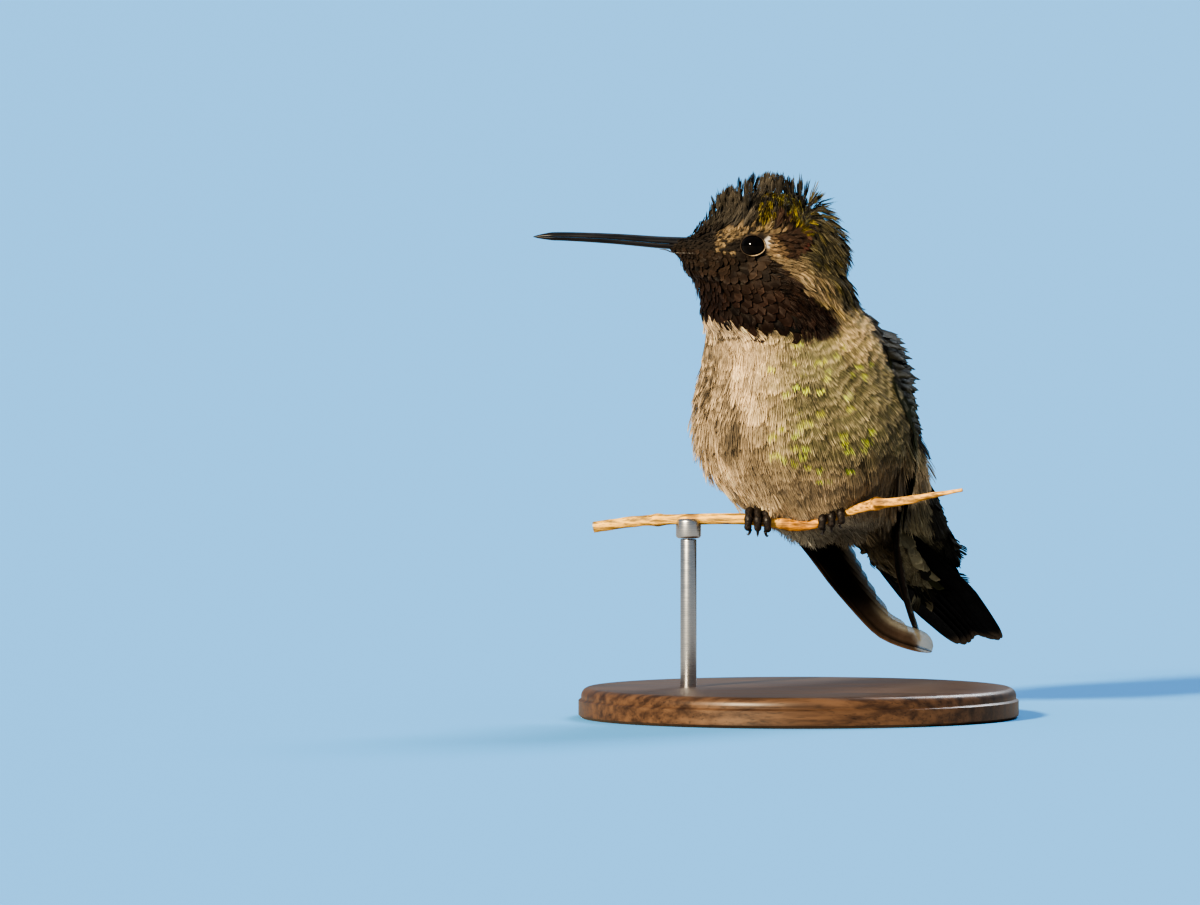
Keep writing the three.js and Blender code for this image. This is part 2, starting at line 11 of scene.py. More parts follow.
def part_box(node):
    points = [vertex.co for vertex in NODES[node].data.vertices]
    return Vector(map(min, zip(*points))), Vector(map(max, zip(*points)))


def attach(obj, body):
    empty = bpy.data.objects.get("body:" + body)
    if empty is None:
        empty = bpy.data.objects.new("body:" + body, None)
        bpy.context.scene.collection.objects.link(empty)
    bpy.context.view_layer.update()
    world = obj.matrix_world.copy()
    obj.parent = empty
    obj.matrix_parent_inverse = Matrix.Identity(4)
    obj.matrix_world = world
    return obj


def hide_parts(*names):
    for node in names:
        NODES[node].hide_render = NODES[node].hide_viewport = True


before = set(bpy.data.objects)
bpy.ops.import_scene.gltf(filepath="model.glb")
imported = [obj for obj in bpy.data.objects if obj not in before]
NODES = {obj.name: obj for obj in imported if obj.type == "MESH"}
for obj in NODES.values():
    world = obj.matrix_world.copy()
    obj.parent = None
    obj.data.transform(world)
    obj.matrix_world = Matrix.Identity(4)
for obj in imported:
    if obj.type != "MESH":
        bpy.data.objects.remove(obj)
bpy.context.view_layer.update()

MM = 0.001
BODY = "root"


# ---------------------------------------------------------------- places and directions

def corner_mm(node, which):
    return np.array(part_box(node)[which]) / MM


def middle_mm(node):
    return (corner_mm(node, 0) + corner_mm(node, 1)) / 2


TURN = math.radians(30)             # the breast faces this far round from -Y towards -X
FOOT_LEFT_X = middle_mm("toe_left_middle")[0]
FOOT_RIGHT_X = middle_mm("toe_right_middle")[0]
FOOT_X = (FOOT_LEFT_X + FOOT_RIGHT_X) / 2
BACK = np.array([math.sin(TURN), math.cos(TURN), 0.0])
LEFT = np.array([math.cos(TURN), -math.sin(TURN), 0.0])
UP = np.array([0.0, 0.0, 1.0])
EYE = middle_mm("eye_left")
HEAD_Y = (EYE[1] + middle_mm("eye_right")[1]) / 2
BILL_BASE = np.array([-17.6, HEAD_Y, EYE[2] + 0.1])


def place(back, left, height):
    """A spot told in the bird's own terms: behind the feet, to its left, above the floor (mm)."""
    return np.array([FOOT_X, 0, 0]) + back * BACK + left * LEFT + height * UP


def own_terms(points):
    """Back, left and height of points, the reverse of place()."""
    off = points - np.array([FOOT_X, 0, 0])
    return off @ BACK, off @ LEFT, points[:, 2]


def unit(vectors):
    length = np.linalg.norm(vectors, axis=-1, keepdims=True)
    return vectors / np.maximum(length, 1e-9)


def round_angles(count):
    """Even angles once round, for rings of points."""
    return np.linspace(0, 2 * math.pi, count, endpoint=False)


def ramp(values, low, high):
    """Smooth step from 0 at low to 1 at high; low may be above high."""
    share = np.clip((values - low) / (high - low), 0, 1)
    return share * share * (3 - 2 * share)


def blob(points, centre, reach):
    """1 at a centre, fading to 0 at a reach given for each axis."""
    off = (points - np.array(centre)) / np.array(reach)
    return np.clip(1 - np.sum(off * off, axis=1), 0, 1)


def wobble(points, size, seed):
    """Soft random field between -1 and 1 with features about `size` mm across."""
    rng = np.random.default_rng(seed)
    total = np.zeros(len(points))
    for _ in range(5):
        axis = unit(rng.normal(size=3))
        pace = 2 * math.pi / (size * rng.uniform(0.8, 1.6))
        total += np.sin(points @ axis * pace + rng.uniform(0, 6.28))
    return total / 3


# ---------------------------------------------------------------- meshes from arrays

def new_object(name, points_mm, quads=None, tris=None, smooth=True):
    mesh = bpy.data.meshes.new(name)
    quads = np.zeros((0, 4), int) if quads is None else np.asarray(quads)
    tris = np.zeros((0, 3), int) if tris is None else np.asarray(tris)
    corners = np.concatenate([quads.ravel(), tris.ravel()]).astype(np.int32)
    sizes = np.concatenate([np.full(len(quads), 4), np.full(len(tris), 3)]).astype(np.int32)
    starts = np.concatenate([[0], np.cumsum(sizes)[:-1]]).astype(np.int32)
    mesh.vertices.add(len(points_mm))
    mesh.vertices.foreach_set("co", (np.asarray(points_mm) * MM).astype(np.float32).ravel())
    mesh.loops.add(len(corners))
    mesh.loops.foreach_set("vertex_index", corners)
    mesh.polygons.add(len(sizes))
    mesh.polygons.foreach_set("loop_start", starts)
    mesh.polygons.foreach_set("loop_total", sizes)
    mesh.polygons.foreach_set("use_smooth", np.full(len(sizes), smooth))
    mesh.update(calc_edges=True)
    mesh.validate()
    piece = bpy.data.objects.new(name, mesh)
    bpy.context.scene.collection.objects.link(piece)
    return piece


def add_uv(piece, name, per_point):
    mesh = piece.data
    layer = mesh.uv_layers.new(name=name)
    corners = np.empty(len(mesh.loops), np.int32)
    mesh.loops.foreach_get("vertex_index", corners)
    layer.data.foreach_set("uv", per_point[corners].astype(np.float32).ravel())


def add_tint(piece, colours, alpha=None):
    """The colour of each point. Alpha is its metal gleam, or in a see-through vane how solid it is."""
    layer = piece.data.color_attributes.new("Tint", "FLOAT_COLOR", "POINT")
    alpha = np.ones(len(colours)) if alpha is None else alpha
    rgba = np.concatenate([np.clip(colours, 0, 1), alpha.reshape(-1, 1)], axis=1)
    layer.data.foreach_set("color", rgba.astype(np.float32).ravel())


def grid_quads(index):
    """Quads between the neighbours in a grid of point numbers."""
    quads = [index[:-1, :-1], index[:-1, 1:], index[1:, 1:], index[1:, :-1]]
    return np.stack(quads, axis=-1).reshape(-1, 4)


def band_quads(rings):
    """Quads round a tube, from point numbers laid out ring by ring."""
    following = np.roll(rings, -1, axis=1)
    return np.stack([rings[:-1], following[:-1], following[1:], rings[1:]], axis=-1).reshape(-1, 4)


def tube_faces(rings, turns):
    """Quads of a closed tube, and tris to its two end points, which are numbered last."""
    index = np.arange(rings * turns).reshape(rings, turns)
    first, last = index[0], index[-1]
    ends = [np.stack([np.full(turns, rings * turns), np.roll(first, -1), first], axis=1),
            np.stack([np.full(turns, rings * turns + 1), last, np.roll(last, -1)], axis=1)]
    return band_quads(index), np.concatenate(ends)


def mend(piece, merge_mm=0.0, crease=0.0):
    """Turns faces outwards, after merging close points; edges bent more than the crease turn sharp."""
    work = bmesh.new()
    work.from_mesh(piece.data)
    if merge_mm:
        bmesh.ops.remove_doubles(work, verts=work.verts, dist=merge_mm * MM)
    bmesh.ops.recalc_face_normals(work, faces=work.faces)
    for edge in work.edges if crease else ():
        edge.smooth = edge.calc_face_angle(0) < crease
    work.to_mesh(piece.data)
    work.free()


def finish_piece(piece, material, slot, *nodes):
    piece.data.materials.append(material)
    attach(piece, BODY)
    if nodes:
        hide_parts(*nodes)
    return piece


def node_arrays(node):
    mesh = NODES[node].data
    points = np.empty(len(mesh.vertices) * 3, np.float32)
    mesh.vertices.foreach_get("co", points)
    return points.reshape(-1, 3) / MM


# ---------------------------------------------------------------- camera, floor and light

VIEW_WIDTH = 157.9                  # mm across the picture at the bird
VIEW_DROP = math.radians(2)
VIEW_DISTANCE = 2000
VIEW_AIM = (FOOT_X - 25.6, 0, 34.9)
SENSOR = 36
FLOOR_REACH = 40000
PAPER_LIGHTING = (0.40, 0.40, 0.40, 1)      # the floor's colour for the light that it throws back
PAPER_SEEN = (0.14, 0.50, 0.99, 1)          # and as the camera sees it


def make_camera():
    aim = Vector(VIEW_AIM) * MM
    data = bpy.data.cameras.new("view_camera")
    data.sensor_width = SENSOR
    data.lens = SENSOR * VIEW_DISTANCE / VIEW_WIDTH
    data.clip_start = 0.05
    data.clip_end = 400
    camera = bpy.data.objects.new("view_camera", data)
    back_off = Vector((0, -math.cos(VIEW_DROP), math.sin(VIEW_DROP))) * VIEW_DISTANCE * MM
    camera.location = aim + back_off
    camera.rotation_euler = (math.pi / 2 - VIEW_DROP, 0, 0)
    bpy.context.scene.collection.objects.link(camera)
    bpy.context.scene.camera = camera


def make_sun(name, left_angle, height_angle, power, softness, colour):
    """A far light, told by its angles to the left of the viewer and above the floor."""
    data = bpy.data.lights.new(name, "SUN")
    data.energy = power
    data.angle = math.radians(softness)
    data.color = colour
    light = bpy.data.objects.new(name, data)
    aside = math.radians(left_angle)
    lift = math.radians(height_angle)
    level = math.cos(lift)
    toward = Vector((-math.sin(aside) * level, -math.cos(aside) * level, math.sin(lift)))
    light.location = toward
    light.rotation_euler = toward.to_track_quat("Z", "Y").to_euler()
    bpy.context.scene.collection.objects.link(light)


def make_lights():
    make_sun("key_light", 33, 24, 6.0, 6, (1.0, 0.84, 0.60))
    make_sun("rim_light", -150, 40, 1.6, 20, (0.86, 0.93, 1.0))
    world = bpy.data.worlds.new("studio_air")
    world.use_nodes = True
    air = world.node_tree.nodes["Background"]
    air.inputs["Color"].default_value = (0.72, 0.85, 1.0, 1)
    air.inputs["Strength"].default_value = 0.34
    bpy.context.scene.world = world
    bpy.context.scene.view_settings.look = "AgX - High Contrast"


def make_floor():
    points = np.array([(-1, -1, 0), (1, -1, 0), (1, 1, 0), (-1, 1, 0)], float) * FLOOR_REACH
    floor = new_object("studio_floor", points, quads=[[0, 1, 2, 3]], smooth=False)
    material = bpy.data.materials.new("floor_paper")
    material.use_nodes = True
    tree = material.node_tree
    paper = tree.nodes["Principled BSDF"]
    paper.inputs["Roughness"].default_value = 0.9
    seen = tree.nodes.new("ShaderNodeLightPath")
    either = tree.nodes.new("ShaderNodeMix")
    either.data_type = "RGBA"
    either.inputs[6].default_value = PAPER_LIGHTING
    either.inputs[7].default_value = PAPER_SEEN
    tree.links.new(seen.outputs["Is Camera Ray"], either.inputs["Factor"])
    tree.links.new(either.outputs[2], paper.inputs["Base Color"])
    floor.data.materials.append(material)


make_camera()
make_lights()
make_floor()


# ---------------------------------------------------------------- skin

FLESH = ("head_crown", "head_face", "head_nape", "gorget", "neck", "breast", "belly", "back", "rump",
         "undertail_coverts")
SKIN_VOXEL = 0.42
AXIS_HEIGHTS = [8, 24, 38, 54, 72]          # the body's middle line, for the unwrap
AXIS_X = [FOOT_X + 14, FOOT_X + 6, FOOT_X + 3, -2.2, -3.8]
AXIS_Y = [26, 9.5, 4.5, -1.5, HEAD_Y]


def hull_of_points(work, points):
    start = [work.verts.new(Vector(point)) for point in points]
    result = bmesh.ops.convex_hull(work, input=start, use_existing_faces=False)
    spare = [part for part in result["geom_interior"] if isinstance(part, bmesh.types.BMVert)]
    bmesh.ops.delete(work, geom=spare, context="VERTS")


def copy_into(work, node):
    points = node_arrays(node)
    start = [work.verts.new(Vector(point)) for point in points]
    for face in NODES[node].data.polygons:
        try:
            work.faces.new([start[corner] for corner in face.vertices])
        except ValueError:
            continue


def remeshed(name, voxel, rounds, hulls=(), copies=(), extra=()):
    """Arrays (points in mm, quads) of one fine even surface round the named solids and extra hulls."""
    work = bmesh.new()
    for points in extra:
        hull_of_points(work, points)
    for node in hulls:
        hull_of_points(work, node_arrays(node))
    for node in copies:
        copy_into(work, node)
    mesh = bpy.data.meshes.new(name)
    work.to_mesh(mesh)
    work.free()
    piece = bpy.data.objects.new(name, mesh)
    bpy.context.scene.collection.objects.link(piece)
    change = piece.modifiers.new("even", "REMESH")
    change.mode = "VOXEL"
    change.voxel_size = voxel
    change = piece.modifiers.new("soft", "SMOOTH")
    change.factor = 0.5
    change.iterations = rounds
    graph = bpy.context.evaluated_depsgraph_get()
    result = bpy.data.meshes.new_from_object(piece.evaluated_get(graph))
    points = np.empty(len(result.vertices) * 3, np.float32)
    result.vertices.foreach_get("co", points)
    quads = np.array([face.vertices[:] for face in result.polygons if len(face.vertices) == 4])
    bpy.data.objects.remove(piece)
    bpy.data.meshes.remove(mesh)
    bpy.data.meshes.remove(result)
    return points.reshape(-1, 3).astype(float), quads


def normals_of(points, quads):
    across = points[quads[:, 2]] - points[quads[:, 0]]
    along = points[quads[:, 3]] - points[quads[:, 1]]
    face = np.cross(across, along)
    total = np.zeros_like(points)
    for corner in range(4):
        np.add.at(total, quads[:, corner], face)
    return unit(total)


def coat_depth(points):
    """How deep the feathers lie over the skin (mm)."""
    x, _, height = points.T
    depth = 0.60 + 0.50 * ramp(height, 50, 45)
    depth -= 0.25 * ramp(x, -9, -14) * ramp(height, 57, 60)
    aside = np.abs(points[:, 1] - HEAD_Y)
    depth += 1.7 * ramp(height, 64.0, 67.5) * ramp(x, -13, -9) * ramp(x, 4, 1) \
        * ramp(aside, 7.5, 3.5)
    depth += 0.7 * ramp(height, 62.9, 63.7) * ramp(x, -17.0, -15.0) * ramp(x, -11.0, -12.5)
    depth += 1.0 * ramp(x, 1, 4.5) * ramp(height, 56, 60)
    depth -= 0.30 * ramp(height, 24, 14)
    return np.maximum(depth, 0.15)


def hollow(points):
    """How much the throat and the vent draw in from the solids that stand for them (mm)."""
    x, _, height = points.T
    throat = 0.6 * ramp(height, 58.8, 57.3) * ramp(height, 52.8, 54.6) * ramp(x, -9, -12)
    vent = 1.0 * ramp(height, 26, 23.5) * ramp(height, 18, 20.5) * ramp(x, 1, 4.5) * ramp(x, 12, 8.5)
    return throat + vent


def unwrap(points):
    """Round-the-body angle and height, each 0 to 1, on the skin's own shape."""
    x = points[:, 0] - np.interp(points[:, 2], AXIS_HEIGHTS, AXIS_X)
    y = points[:, 1] - np.interp(points[:, 2], AXIS_HEIGHTS, AXIS_Y)
    return np.stack([(np.arctan2(-x, y) / (2 * math.pi)) % 1.0, (points[:, 2] - 6) / 70], axis=1)


# ---------------------------------------------------------------- markings

COLOUR = {
    "gorget": (0.037, 0.0190, 0.0130),
    "chin": (0.044, 0.029, 0.020),
    "lore": (0.032, 0.024, 0.018),
    "brow": (0.350, 0.255, 0.145),
    "spot": (0.860, 0.800, 0.700),
    "cloud": (0.300, 0.205, 0.115),
    "ear": (0.062, 0.035, 0.023),
    "crown": (0.070, 0.060, 0.046),
    "gold": (0.560, 0.430, 0.055),
    "nape": (0.130, 0.112, 0.066),
    "stripe": (0.400, 0.300, 0.180),
    "throat_edge": (0.760, 0.590, 0.390),
    "breast": (0.740, 0.560, 0.350),
    "flank": (0.315, 0.268, 0.158),
    "belly": (0.700, 0.545, 0.345),
    "vent": (0.500, 0.475, 0.380),
    "shoulder": (0.700, 0.520, 0.300),
    "back": (0.026, 0.025, 0.016),
    "coverts": (0.370, 0.330, 0.210),
    "green": (0.560, 0.760, 0.070),
    "mantle": (0.075, 0.082, 0.026),
}


def even_colour(colour, count):
    return np.tile(np.array(colour), (count, 1))


def mix(colours, other, share):
    return colours + (np.array(other) - colours) * share[:, None]


THROAT_X = [-13, -11, -8.9, -7.1, -6, -4, -2.5, -0.5, 1.8, 4.2, 5.6, 6.5]
THROAT_EDGE = [52.4, 52.2, 51.2, 51.7, 50.7, 50.1, 50.8, 49.5, 49.5, 50.0, 51.4, 52.2]
CHEEK_HEIGHTS = [49, 50.8, 53.1, 54.5, 57.4, 60.3, 61.3, 62]
CHEEK_REAR_X = [6.2, 5.8, 4.2, 2.6, 0.0, -3.2, -4.6, -9.0]


def gorget_share(points):
    """1 on the dark throat and cheeks, 0 elsewhere."""
    x, _, z = points.T
    lower = np.interp(x, THROAT_X, THROAT_EDGE)
    rear = np.interp(z, CHEEK_HEIGHTS, CHEEK_REAR_X)
    upper = np.interp(x, [-18, -12.5, -8, -4], [61.8, 61.6, 60.6, 61.2])
    above = ramp(z, lower - 0.25, lower + 0.25)
    ahead = ramp(x, rear + 0.4, rear - 0.4)
    return above * ahead * ramp(z, upper + 0.3, upper - 0.3)


def head_share(points):
    x, _, z = points.T
    edge = np.interp(x, THROAT_X + [9, 13], THROAT_EDGE + [54.6, 56])
    return ramp(z, edge - 0.3, edge + 0.3)


def ear_share(points):
    lower = np.sqrt(blob(points, (-0.3, HEAD_Y, 63.6), (3.6, 30, 3.5)))
    return np.maximum(lower, np.sqrt(blob(points, (-1.4, HEAD_Y, 65.7), (2.1, 30, 2.1))))


def near_path(points, stops, half):
    """1 on a line through (X, Z) stops in the side view, fading out at its half width (mm)."""
    x, _, z = points.T
    nearest = np.full(len(points), 99.0)
    for (x0, z0), (x1, z1) in zip(stops[:-1], stops[1:]):
        run_x, run_z = x1 - x0, z1 - z0
        share = np.clip(((x - x0) * run_x + (z - z0) * run_z) / (run_x ** 2 + run_z ** 2), 0, 1)
        nearest = np.minimum(nearest, np.hypot(x - x0 - share * run_x, z - z0 - share * run_z))
    return ramp(nearest, half, 0.5 * half)


GOLD_ARCH = [(-4.5, 65.6), (-4.0, 67.9), (-3.1, 69.2), (-1.6, 68.4), (0.1, 66.7), (1.6, 64.6)]
BUFF_BAND = [(-2.6, 60.9), (-1.2, 60.2), (1.6, 57.4), (4.0, 54.6), (6.2, 53.1)]
BROW_ARCH = [(-10.2, 63.3), (-8.8, 64.1), (-7.4, 64.6), (-5.6, 64.9), (-4.0, 65.0), (-2.6, 64.7)]
EYE_CLOUD = [(-3.7, 62.7), (-3.0, 62.1), (-2.1, 61.0)]
# Paths of painted shade in the side view: the cleft beside the breast and a fold across the flank
BREAST_CLEFT_SHADE = [(-9.1, 40.8), (-8.3, 38.0), (-8.5, 36.4), (-9.2, 34.2)]
FLANK_FOLD_SHADE = [(-8.2, 36.2), (-5.4, 34.2), (-2.6, 31.6), (0.4, 29.6)]
WING_EDGE_HEIGHTS = [10, 22.7, 28.2, 33.8, 40, 46.2, 52, 56]
WING_EDGE_BACK = [24, 16.6, 12.8, 8.8, 4.0, 1.4, 1.2, 1.0]
RUST = (0.15, 0.040, 0.03)
LORE_DOTS = [(-9.9, 62.4), (-9.6, 61.2), (-9.5, 60.4), (-7.6, 60.4), (-8.7, 61.3), (-10.6, 61.6)]


def back_share(points, normals):
    """1 on the back and the folded wings' shoulders, 0 on the breast and flanks."""
    back, _, height = own_terms(points)
    wing_line = np.interp(height, WING_EDGE_HEIGHTS, WING_EDGE_BACK)
    high = ramp(height, 22, 28)
    behind = ramp(back - wing_line + 0.5 * high * wobble(points, 5, 5), -0.3, 0.5)
    aside = (0.10 + 0.25 * high) * np.abs(normals @ LEFT)
    return behind * ramp(normals @ BACK + 0.8 * normals[:, 2] + aside + 0.15 * high, 0.25, 0.40)


def flank_share(points):
    """0 on the middle of the breast, 1 on the left flank."""
    return ramp(own_terms(points)[1], -2.0, 8.5) * ramp(points[:, 2], 29, 35)


def body_shade(points):
    """Painted shade in folds of the plumage: the cleft beside the breast, a fold across the flank, the
    lower flank and the lower vent.
    """
    cleft = near_path(points, BREAST_CLEFT_SHADE, 1.3)
    fold = near_path(points, FLANK_FOLD_SHADE, 3.2)
    low_flank_shade = np.sqrt(blob(points, (10.5, -4, 29.5), (6.0, 14, 6.0)))
    low_vent_shade = ramp(points[:, 0], 1.5, 6.5) * ramp(points[:, 2], 25.8, 24.2)
    low_vent_shade = low_vent_shade * ramp(own_terms(points)[0], 14.5, 12.5)
    return (1 - 0.62 * cleft) * (1 - 0.38 * fold) * (1 - 0.68 * low_flank_shade) * (1 - 0.6 * low_vent_shade)


def markings(points, normals, gilt=1.0):
    """Colour of the plumage at each point, and how much of it shines like metal."""
    count = len(points)
    x, _, z = points.T
    colours = even_colour(COLOUR["breast"], count)
    facing = normals @ LEFT
    colours = mix(colours, COLOUR["flank"], flank_share(points))
    colours = mix(colours, COLOUR["flank"], 0.7 * ramp(-facing, 0.75, 0.95) * ramp(z, 30, 36))
    colours = mix(colours, COLOUR["belly"], ramp(z, 35, 29))
    own_back = own_terms(points)[0]
    colours = mix(colours, COLOUR["vent"], ramp(z, 26.8, 25.0) * ramp(own_back, 14.5, 12.5))
    left_side = ramp(-facing, -0.1, 0.5) * ramp(z, 30, 36)
    colours = mix(colours, np.array(COLOUR["breast"]) * 0.58, 0.85 * left_side)
    below_throat = blob(points, (-10.5, -6, 50.3), (6.5, 9, 3.4)) ** 0.6
    colours = mix(colours, COLOUR["throat_edge"], 0.9 * below_throat)
    colours = mix(colours, COLOUR["shoulder"], blob(points, (8.3, -5, 50.0), (5.5, 9, 4.5)) ** 0.6)
    patches = wobble(points, 6.5, 2) * 0.16 + wobble(points, 3.0, 3) * 0.10
    # random patches of tone, times the painted shade of body_shade
    colours = colours * ((1 + patches) * body_shade(points))[:, None]
    under = ramp(own_back, 12.5, 14.5) * ramp(z, 29, 27)
    coverts = np.array(COLOUR["coverts"]) * (0.35 + 0.65 * ramp(own_back, 17, 25))[:, None]
    colours = colours + (coverts - colours) * under[:, None]
    outer = ramp(x, 16.5 + 0.21 * (29.1 - z), 17.3 + 0.21 * (29.1 - z)) * ramp(z, 30, 28.5)
    colours = mix(colours, COLOUR["back"], outer)
    dorsal = back_share(points, normals)
    colours = mix(colours, COLOUR["back"], dorsal)
    colours = mix(colours, COLOUR["mantle"], dorsal * ramp(normals @ BACK, 0.55, 0.85))
    head = head_share(points)
    head_colours = even_colour(COLOUR["nape"], count)
    buff = near_path(points, BUFF_BAND, 2.7) * ramp(wobble(points, 1.3, 14), -1.1, -0.1)
    buff = buff * ramp(normals[:, 0], 0.85, 0.5)
    head_colours = mix(head_colours, COLOUR["stripe"], 0.9 * buff)
    head_colours = mix(head_colours, COLOUR["crown"], ramp(z, 64.0, 65.4) * ramp(x, 3.2, 1.6))
    head_colours = mix(head_colours, COLOUR["lore"], ramp(x, -3.2, -4.4) * ramp(z, 65.9, 65.0))
    head_colours = mix(head_colours, COLOUR["ear"], ramp(ear_share(points), 0.2, 0.5))
    flecks = 0.35 * ramp(x, 1.2, 2.6) * ramp(wobble(points, 1.2, 10), 0.25, 0.6)
    arch = near_path(points, GOLD_ARCH, 1.35) * ramp(wobble(points, 0.7, 9), -0.45, 0.25)
    gold = np.maximum(arch, flecks)
    head_colours = mix(head_colours, COLOUR["gold"], 0.85 * gilt * gold)
    rust = blob(points, (1.7, HEAD_Y, 62.2), (1.3, 30, 1.2)) * ramp(wobble(points, 0.9, 12), 0.1, 0.5)
    head_colours = mix(head_colours, RUST, 0.7 * rust)
    brow = near_path(points, BROW_ARCH, 1.3) * ramp(wobble(points, 0.7, 15), -0.9, 0.5)
    head_colours = mix(head_colours, COLOUR["brow"], 0.9 * brow)
    for dot_x, dot_z in LORE_DOTS:
        dot = ramp(np.hypot(x - dot_x, z - dot_z), 0.42, 0.22)
        head_colours = mix(head_colours, COLOUR["brow"], dot)
    throat = gorget_share(points)
    throat_colour = mix(even_colour(COLOUR["gorget"], count), COLOUR["chin"], ramp(z, 55, 60))
    head_colours = head_colours * (1 - throat[:, None]) + throat_colour * throat[:, None]
    cloud = near_path(points, EYE_CLOUD, 1.3) * ramp(wobble(points, 0.8, 16), -1.1, 0.3)
    head_colours = mix(head_colours, COLOUR["cloud"], cloud)
    spot = ramp(blob(points, (-4.1, HEAD_Y, 62.8), (0.62, 30, 1.0)), 0.05, 0.6)
    head_colours = mix(head_colours, COLOUR["spot"], spot)
    colours = colours * (1 - head[:, None]) + head_colours * head[:, None]
    metal = head * np.clip(0.5 * gold * (1 - throat) + 0.25 * throat * ramp(z, 60, 55), 0, 1)
    metal = np.maximum(metal, 0.12 * dorsal * (1 - head))
    return np.clip(colours, 0.004, 1), metal


# ---------------------------------------------------------------- lie of the plumage

def lie(points, normals):
    """Which way a feather lies at each point of the skin, along the surface."""
    x, _, z = points.T
    aside = own_terms(points)[1]
    tailward = 0.22 + 1.5 * ramp(z, 34, 20) + 0.75 * ramp(aside, 1, 10) * ramp(z, 30, 37)
    trunk = unit(-UP + tailward[:, None] * BACK)
    away = points - BILL_BASE
    away[:, 1] *= 0.8
    head = unit(away)
    crest = ramp(z, 63.2, 65.2) * ramp(x, -14.0, -10.5) * ramp(x, 3.5, -1.0)
    head = unit(head * (1 - 0.80 * crest[:, None]) + crest[:, None] * UP * 1.3)
    drop = ramp(x, -3.5, 6.5) * ramp(z, 68, 63)
    head = unit(head - drop[:, None] * UP * 0.9)
    share = ramp(z, 48.5, 56)[:, None]
    flow = head * share + trunk * (1 - share)
    flow -= normals * np.sum(flow * normals, axis=1, keepdims=True)
    return unit(flow)


class Skin:
    """The bird's skin, asked for its nearest points and its roots."""

    def __init__(self, points, quads):
        self.points = points
        self.quads = quads
        self.normals = normals_of(points, quads)
        self.tree = BVHTree.FromPolygons([Vector(point) for point in points], quads.tolist())
        vertices = KDTree(len(points))
        for index, point in enumerate(points):
            vertices.insert(Vector(point), index)
        vertices.balance()
        self.vertices = vertices

    def nearest(self, points):
        """The closest points of the skin, with soft normals there."""
        spots = np.empty_like(points)
        normals = np.empty_like(points)
        for index, point in enumerate(points):
            here = Vector(point)
            spots[index] = self.tree.find_nearest(here)[0]
            normals[index] = self.normals[self.vertices.find(here)[1]]
        return spots, normals

    def scatter(self, count, seed):
        """Even random spots over the whole skin."""
        rng = np.random.default_rng(seed)
        corners = self.points[self.quads]
        crossed = np.cross(corners[:, 2] - corners[:, 0], corners[:, 3] - corners[:, 1])
        area = np.linalg.norm(crossed, axis=1) / 2
        chosen = rng.choice(len(area), count, p=area / area.sum())
        u = rng.random((count, 1))
        v = rng.random((count, 1))
        four = corners[chosen]
        near = four[:, 0] * (1 - u) + four[:, 1] * u
        far = four[:, 3] * (1 - u) + four[:, 2] * u
        return near * (1 - v) + far * v, self.normals[self.quads[chosen, 0]]


def spread_out(points, spacing):
    """Keeps the points, in order, that lie no closer to an earlier one than their own spacing."""
    cell = float(np.max(spacing))
    grid = {}
    kept = []
    keys = np.floor(points / cell).astype(int)
    around = [(i, j, k) for i in (-1, 0, 1) for j in (-1, 0, 1) for k in (-1, 0, 1)]
    place_of = points.tolist()
    for index, (a, b, c) in enumerate(keys.tolist()):
        px, py, pz = place_of[index]
        least = spacing[index] ** 2
        clear = True
        for i, j, k in around:
            for other in grid.get((a + i, b + j, c + k), ()):
                qx, qy, qz = place_of[other]
                if (px - qx) ** 2 + (py - qy) ** 2 + (pz - qz) ** 2 < least:
                    clear = False
                    break
            if not clear:
                break
        if clear:
            grid.setdefault((a, b, c), []).append(index)
            kept.append(index)
    return np.array(kept)


SPINE_STEPS = 5
PATCH_SIZE = 0.0015                 # of one feather in the OFBake map
DARKEST_TINT = 0.002


